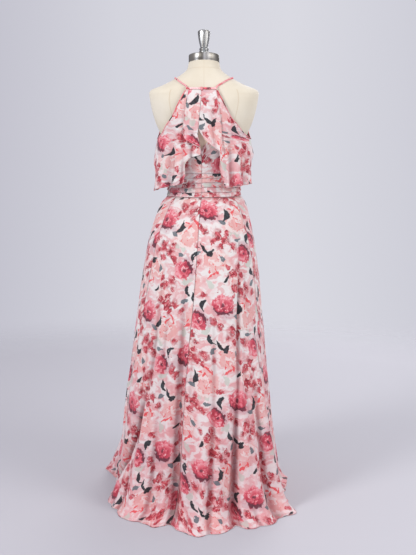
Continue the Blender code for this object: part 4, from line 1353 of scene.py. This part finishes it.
def skirt():
    """Three panels from the waist to the floor, each with a rolled hem."""
    rise = 1 - np.linspace(0.0, 1.0, SKIRT_ROWS)[:, None]
    heights = HEM + (WAIST_SEAM - SEAM - HEM) * rise ** 1.4   # closer together near the hem
    centre, left, right = columns(SKIRT_SEAMS, "centre left right", heights)
    seams = (left, centre, right, left + 360)
    gap = seam_angle(skirt_reach(0.0, heights) * SKIRT_REACH)
    for place, start, end, count in zip(PANELS, seams, seams[1:], SKIRT_COLUMNS):
        name = "skirt_" + place
        share = np.linspace(0.0, 1.0, count + 1)
        grid = points(skirt_reach, between(start + gap, end - gap, share), heights)
        made = shell(name, grid)
        edging(name, "hem", grid[-1] + (0.0, 0.0, ROLLED_HEM - HEM / 2))


def panels(kind, side_seam, counts):
    """The name of each panel round the body, and the turns of its columns."""
    seams = (-side_seam, CENTRE_BACK, side_seam, 360.0 - side_seam)
    gap = seam_angle(FORM_REACH)
    for place, start, end, count in zip(PANELS, seams, seams[1:], counts):
        yield f"{kind}_{place}", np.linspace(start + gap, end - gap, count + 1)


def waistband():
    heights = np.linspace(WAIST_TOP - SEAM, WAIST_SEAM, WAISTBAND_ROWS)[:, None]
    for name, turns in panels("waistband", WAIST_SIDE_SEAM, WAISTBAND_COLUMNS):
        grid = points(waistband_reach, turns, heights)
        shell(name, grid, hem=False, pleats=pleat_at(turns, heights))


def bodice():
    share = np.linspace(0.0, 1.0, BODICE_ROWS)[:, None]
    for name, turns in panels("bodice", SIDE_SEAM, BODICE_COLUMNS):
        tops = column(BODICE_TOP, "z", np.abs((turns - CENTRE_BACK + 180) % 360 - 180))
        shell(name, points(bodice_reach, turns, between(tops, WAIST_TOP, share)), hem=False)


def overlay_back_grid(side):
    """Points of a back panel, from the inner edge to the armhole and the side seam."""
    last = int(OVERLAY_BACK[-1].step)
    steps = np.linspace(0, last, last * STEP_ROWS + 1)[:, None]
    inner_x, inner_z, outer_z, outer_turn = columns(
        OVERLAY_BACK, f"{side}_x {side}_z {side}_outer_z outer_turn", steps)
    inner = turn_at(overlay_reach, inner_x, inner_z)
    outer = skewed(SIGN[side] * outer_turn) - SIGN[side] * seam_angle(SIDE_REACH)
    share = np.linspace(0.0, 1.0, BACK_COLUMNS)
    return points(overlay_reach, between(inner, outer, share), between(inner_z, outer_z, share))


def overlay_front_grid(rows):
    """Points of the overlay's front: armholes, a scooped neckline and a free hem."""
    corner = ARMHOLE[-1].turn
    rise = np.linspace(SIDE_SEAM + seam_angle(SIDE_REACH), corner, ARMHOLE_COLUMNS + 1)
    neck = np.linspace(corner, 360.0 - corner, NECKLINE_COLUMNS + 1)[1:-1]
    turns = np.concatenate([rise, neck, 360.0 - rise[::-1]])
    edge = [row for row in ARMHOLE if row.turn >= SIDE_SEAM] + NECKLINE
    tops = column(edge, "z", np.where(turns <= 180, turns, 360 - turns))
    foot = OVERLAY_BACK[-1]
    hem_at_side = np.where(turns <= 180, foot.right_outer_z, foot.left_outer_z)
    hems = FRONT_HEM + (hem_at_side - FRONT_HEM) * np.abs(turns - 180) / 90
    return points(overlay_reach, turns, between(tops, hems, np.linspace(0.0, 1.0, rows)[:, None]))


def beside(edge, within):
    """Middle of a rolled binding just past an edge of a wall, level with its middle.

    within is a line of points a little way in from the edge.
    """
    along = np.gradient(edge, axis=0)
    outward = facing(np.cross(along, within - edge), edge * (1, 1, 0))
    away = facing(np.cross(along, outward), edge - within)
    return edge + away * (EDGE_BINDING + SEAM * 0.3) - outward * SHELL / 2


def overlay():
    """The popover: two back panels and a front, with rolled hems and bindings."""
    front = overlay_front_grid(OVERLAY_ROWS)
    made = shell("overlay_front", front, sewn=False)
    hem = edging("overlay_front", "hem", front[-1])
    neck = front[:, ARMHOLE_COLUMNS:-ARMHOLE_COLUMNS]
    rolled("neck_binding_front", beside(neck[0], neck[3])[1:-1], EDGE_BINDING, 10, "binding",
           node="neck_binding_front", look="neck_binding")
    for side in ("left", "right"):
        name = "overlay_back_" + side
        back = overlay_back_grid(side)
        made = shell(name, back[:, ::SIGN[side]], sewn=False)
        edging(name, "hem", back[-1])
        edging(name, "edge", back[:, 0])
        armhole = back[:UNDER_ARM * STEP_ROWS + 1]
        behind = beside(armhole[:, -1], armhole[:, -4] - (0.0, 0.0, 0.02))
        ahead = front[:, ::SIGN[side]][:, :ARMHOLE_COLUMNS + 1]
        path = np.concatenate([behind[1:], beside(ahead[0], ahead[3])[1:-1]])
        name = "armhole_binding_" + side
        rolled(name, spline(path[::2], 150), EDGE_BINDING, 10, "binding", node=name)


def cascade(side):
    """A flap beside the centre-back opening, which lies on the overlay and ripples."""
    name = "cascade_" + side
    ripple_turn = -24.0 if side == "left" else 10.0
    steps = np.linspace(0, CASCADE[-1].step, CASCADE_ROWS)[:, None]
    down = steps / CASCADE[-1].step

    def flap_reach(turn, z):
        lift = CLOTH + SEAM + CASCADE_LIFT * down
        ripple = CASCADE_RIPPLE * down ** 2 * bump(turn, ripple_turn, 7.0)
        flounce = 0.0016 * down * wave(19 * turn + 40 * down)
        return overlay_reach(turn, z) + lift + ripple + flounce

    first_x, first_z, last_x, last_z = columns(
        CASCADE, f"{side}_x {side}_z {side}_end_x {side}_end_z", steps)
    first, last = turn_at(flap_reach, first_x, first_z), turn_at(flap_reach, last_x, last_z)
    share = np.linspace(0.0, 1.0, CASCADE_COLUMNS)
    grid = points(flap_reach, between(first, last, share), between(first_z, last_z, share))
    made = shell(name, grid, sewn=False)
    outer = grid[:, 0 if side == "left" else -1]
    edging(name, "hem", grid[-1])
    edging(name, "edge", outer)


def neck_strips():
    spans = {
        "left": (skewed(-ARMHOLE[0].turn), turn_at(strip_reach, NECK_GAP_LEFT, STRIP_FOOT)),
        "right": (turn_at(strip_reach, NECK_GAP_RIGHT, STRIP_FOOT), skewed(ARMHOLE[0].turn)),
    }
    share = np.linspace(1.0, 0.0, STRIP_ROWS)[:, None]
    belly = 0.0006 * (1 - (2 * share - 1) ** 2)
    for side, (start, end) in spans.items():
        grid = points(lambda turn, z: strip_reach(turn, z) + belly + 0.0003 * wave(40 * turn),
                      np.linspace(start, end, STRIP_COLUMNS), STRIP_FOOT + BINDING_HEIGHT * share)
        shell("neck_binding_back_" + side, grid, hem=False, slot="binding",
              thick=BINDING_THICK - 0.0004, look="neck_binding")


def strap(side):
    """A spaghetti strap from the back of the neck over the shoulder to the front."""
    name = "strap_" + side
    raw = np.linspace(STRAP_PATH[0].turn, STRAP_PATH[-1].turn, 60)
    heights = column(STRAP_PATH, "z", raw)
    turns = skewed(SIGN[side] * raw)
    surface = points(form_reach, turns, heights)
    surface[:, 2] -= column(FORM, "tilt", heights) * surface[:, 1]
    step = 0.0005
    round_way = points(form_reach, turns + 0.5, heights) - points(form_reach, turns - 0.5, heights)
    up_way = points(form_reach, turns, heights + step) - points(form_reach, turns, heights - step)
    path = surface + unit(np.cross(round_way, up_way)) * (STRAP * STRAP_FLAT + 0.0004)
    # It starts inside the neck strip, a degree in from its end, and ends at a corner of the neckline.
    start = points(lambda turn, z: strip_reach(turn, z) - BINDING_THICK / 2,
                   skewed(SIGN[side] * ARMHOLE[0].turn) - SIGN[side], STRIP_FOOT + BINDING_HEIGHT / 2)
    foot = overlay_front_grid(3)[0, ::SIGN[side]][ARMHOLE_COLUMNS]
    path = np.concatenate([[start], path, [foot + (0.0, 0.0, 0.005), foot]])
    rolled(name, spline(path, 130), STRAP, 12, "binding", node=name, flatten=STRAP_FLAT)


def closures():
    """The covered button and its loop at the back of the neck."""
    z = NECK_EDGE + SEAM + BINDING_HEIGHT / 2
    x = (NECK_GAP_LEFT + NECK_GAP_RIGHT) / 2
    ball = bmesh.new()
    bmesh.ops.create_uvsphere(ball, u_segments=40, v_segments=24, radius=BUTTON_RADIUS)
    bmesh.ops.scale(ball, vec=(1.0, BUTTON_THICK / BUTTON_RADIUS, 1.0), verts=ball.verts)
    for spot in ball.verts:
        rim = math.hypot(spot.co.x, spot.co.z) / BUTTON_RADIUS
        spot.co.y *= 1.0 - 0.25 * math.exp(-((rim - 0.78) / 0.10) ** 2)
    middle = (x, -(strip_reach(0.0, z) + BUTTON_THICK + SEAM), z)
    bmesh.ops.translate(ball, vec=middle, verts=ball.verts)
    mesh = written(ball, bpy.data.meshes.new("button"))
    flat = np.array([(spot.co.x - x, z - spot.co.z) for spot in mesh.vertices])
    lay(mesh, "flat", cut_from("button", flat[:, 0], flat[:, 1]))
    put("button_cover", mesh, "button", "binding", "binding")
    way = BUTTON_RADIUS + LOOP_CORD + SEAM
    angles = np.radians(np.linspace(150.0, -150.0, 49))
    over_cascade = overlay_reach(0.0, z - way - LOOP_CORD) + CLOTH + 3 * SEAM + LOOP_CORD
    path = np.stack([x + way * np.cos(angles), np.full(len(angles), -over_cascade),
                     z + way * np.sin(angles)], axis=-1)
    rolled("button_loop", path, LOOP_CORD, 8, "binding", node="button_loop", cut="button")


def zip_closure():
    """The tape behind the centre-back seam, with its coil of teeth."""
    top, foot = BODICE_TOP[0].z - ZIP_TOP, WAIST_TOP + ZIP_FOOT

    def tape_reach(turn, z):
        return form_reach(turn, z) + BODICE_EASE - CLOTH - SEAM - ZIP_GAP

    grid = points(tape_reach, CENTRE_BACK + np.linspace(-ZIP_TURN, ZIP_TURN, 9),
                  np.linspace(top, foot, 60)[:, None])
    mesh = mesh_of("zip", grid, quads(*grid.shape[:2]))
    walled(put("zip_tape", mesh, "zip", "zip_tape", "zip_tape"), ZIP_THICK)
    side = np.sign(np.sin(np.arange(COIL_STEPS) * math.pi / 3))
    path = points(lambda turn, z: tape_reach(turn, z) - COIL_DEPTH, CENTRE_BACK + COIL_TURN * side,
                  np.linspace(top - 0.001, foot, COIL_STEPS))
    rolled("zip_coil", path, COIL_RADIUS, 5, "zip_tape", cut="button")


# ---------------------------------------------------------------- studio
LIGHTS = chart("""
name x y z aim size power green blue
key -2.9 -2.5 3 1.3 1.5 118 0.99 0.985
fill 2.9 -1.9 2.5 1.4 2 70 0.98 0.96
top 0.2 0.1 3.7 1.3 1.6 8 0.985 0.97
front 0.9 3.4 2.4 0.9 2.2 60 0.98 0.96
""")


def camera():
    data = bpy.data.cameras.new("camera")
    data.sensor_fit = "VERTICAL"
    data.sensor_height = CAMERA["film"]
    data.lens = CAMERA["lens"]
    tilt = math.radians(90.0 - CAMERA["down"])
    bpy.context.scene.camera = placed("camera", data, CAMERA["place"], (tilt, 0.0, 0.0))


def lights():
    """Large soft lights, each aimed at a height on the form's axis."""
    for light in LIGHTS:
        data = bpy.data.lights.new(light.name, "AREA")
        data.shape = "DISK"
        data.size = light.size
        data.energy = light.power
        data.color = (1.0, light.green, light.blue)
        place = Vector((light.x, light.y, light.z))
        aim = (Vector((0.0, 0.0, light.aim)) - place).to_track_quat("-Z", "Y")
        placed(light.name, data, place, aim.to_euler())


def floor():
    """A pale floor that fades into the backdrop, with painted shade that darkens it towards -x."""
    disk = bmesh.new()
    bmesh.ops.create_circle(disk, cap_ends=True, segments=128, radius=FLOOR_RADIUS)
    mesh = written(disk, bpy.data.meshes.new("floor"))
    placed("floor", mesh)
    made, tree = material("floor", 0.75, specular=0.2)
    place = place_in(tree)
    # Faint random mottle, and painted shade that darkens the floor towards -x.
    mottle_and_shade = place.clouds(0.6, space="3D") * 0.1 + place.split()[0].within(-1.4, 1.4) * 0.9
    pale = mottle_and_shade.ramp((0.0, "#B1B0B6"), (1.0, "#BABAC0"))
    finished(made, pale, place.clouds(0.01, space="3D"), 0.0003, 0.3)
    shader, end = tree.nodes["Principled BSDF"], tree.nodes["Material Output"]
    faded = added(tree, "MixShader", {
        0: place.flat().vector("LENGTH").within(2.1, 3.2),
        1: Wire(tree, shader.outputs[0]),
        2: added(tree, "BsdfTransparent", {})})
    tree.links.new(faded.socket, end.inputs["Surface"])
    mesh.materials.append(made)


def backdrop():
    world = bpy.data.worlds.new("studio")
    bpy.context.scene.world = world
    world.use_nodes = True
    tree = world.node_tree
    sideways = added(tree, "TexCoord", {}, "Generated").split()[0]
    tint = (sideways * 2.2 + 0.5).ramp(
        (0.0, "#BEBDC9"), (0.33, "#D4D4DD"), (0.66, "#DADAE2"), (0.95, "#CDCDD7"))
    sky = tree.nodes["Background"]
    tree.links.new(tint.socket, sky.inputs["Color"])
    sky.inputs["Strength"].default_value = 1.0
    bpy.context.scene.view_settings.view_transform = "Standard"


# ---------------------------------------------------------------- all
camera()
floor()
backdrop()
lights()
torso()
neck_hardware()
skirt()
waistband()
bodice()
overlay()
for flank in ("left", "right"):
    cascade(flank)
    strap(flank)
neck_strips()
closures()
zip_closure()
for node, look in (("stand_base", "steel"), ("stand_pole", "steel"), ("zip_slider", "zip_metal")):
    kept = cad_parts[node]
    for place in kept.material_slots:
        place.material = LOOKS[look]
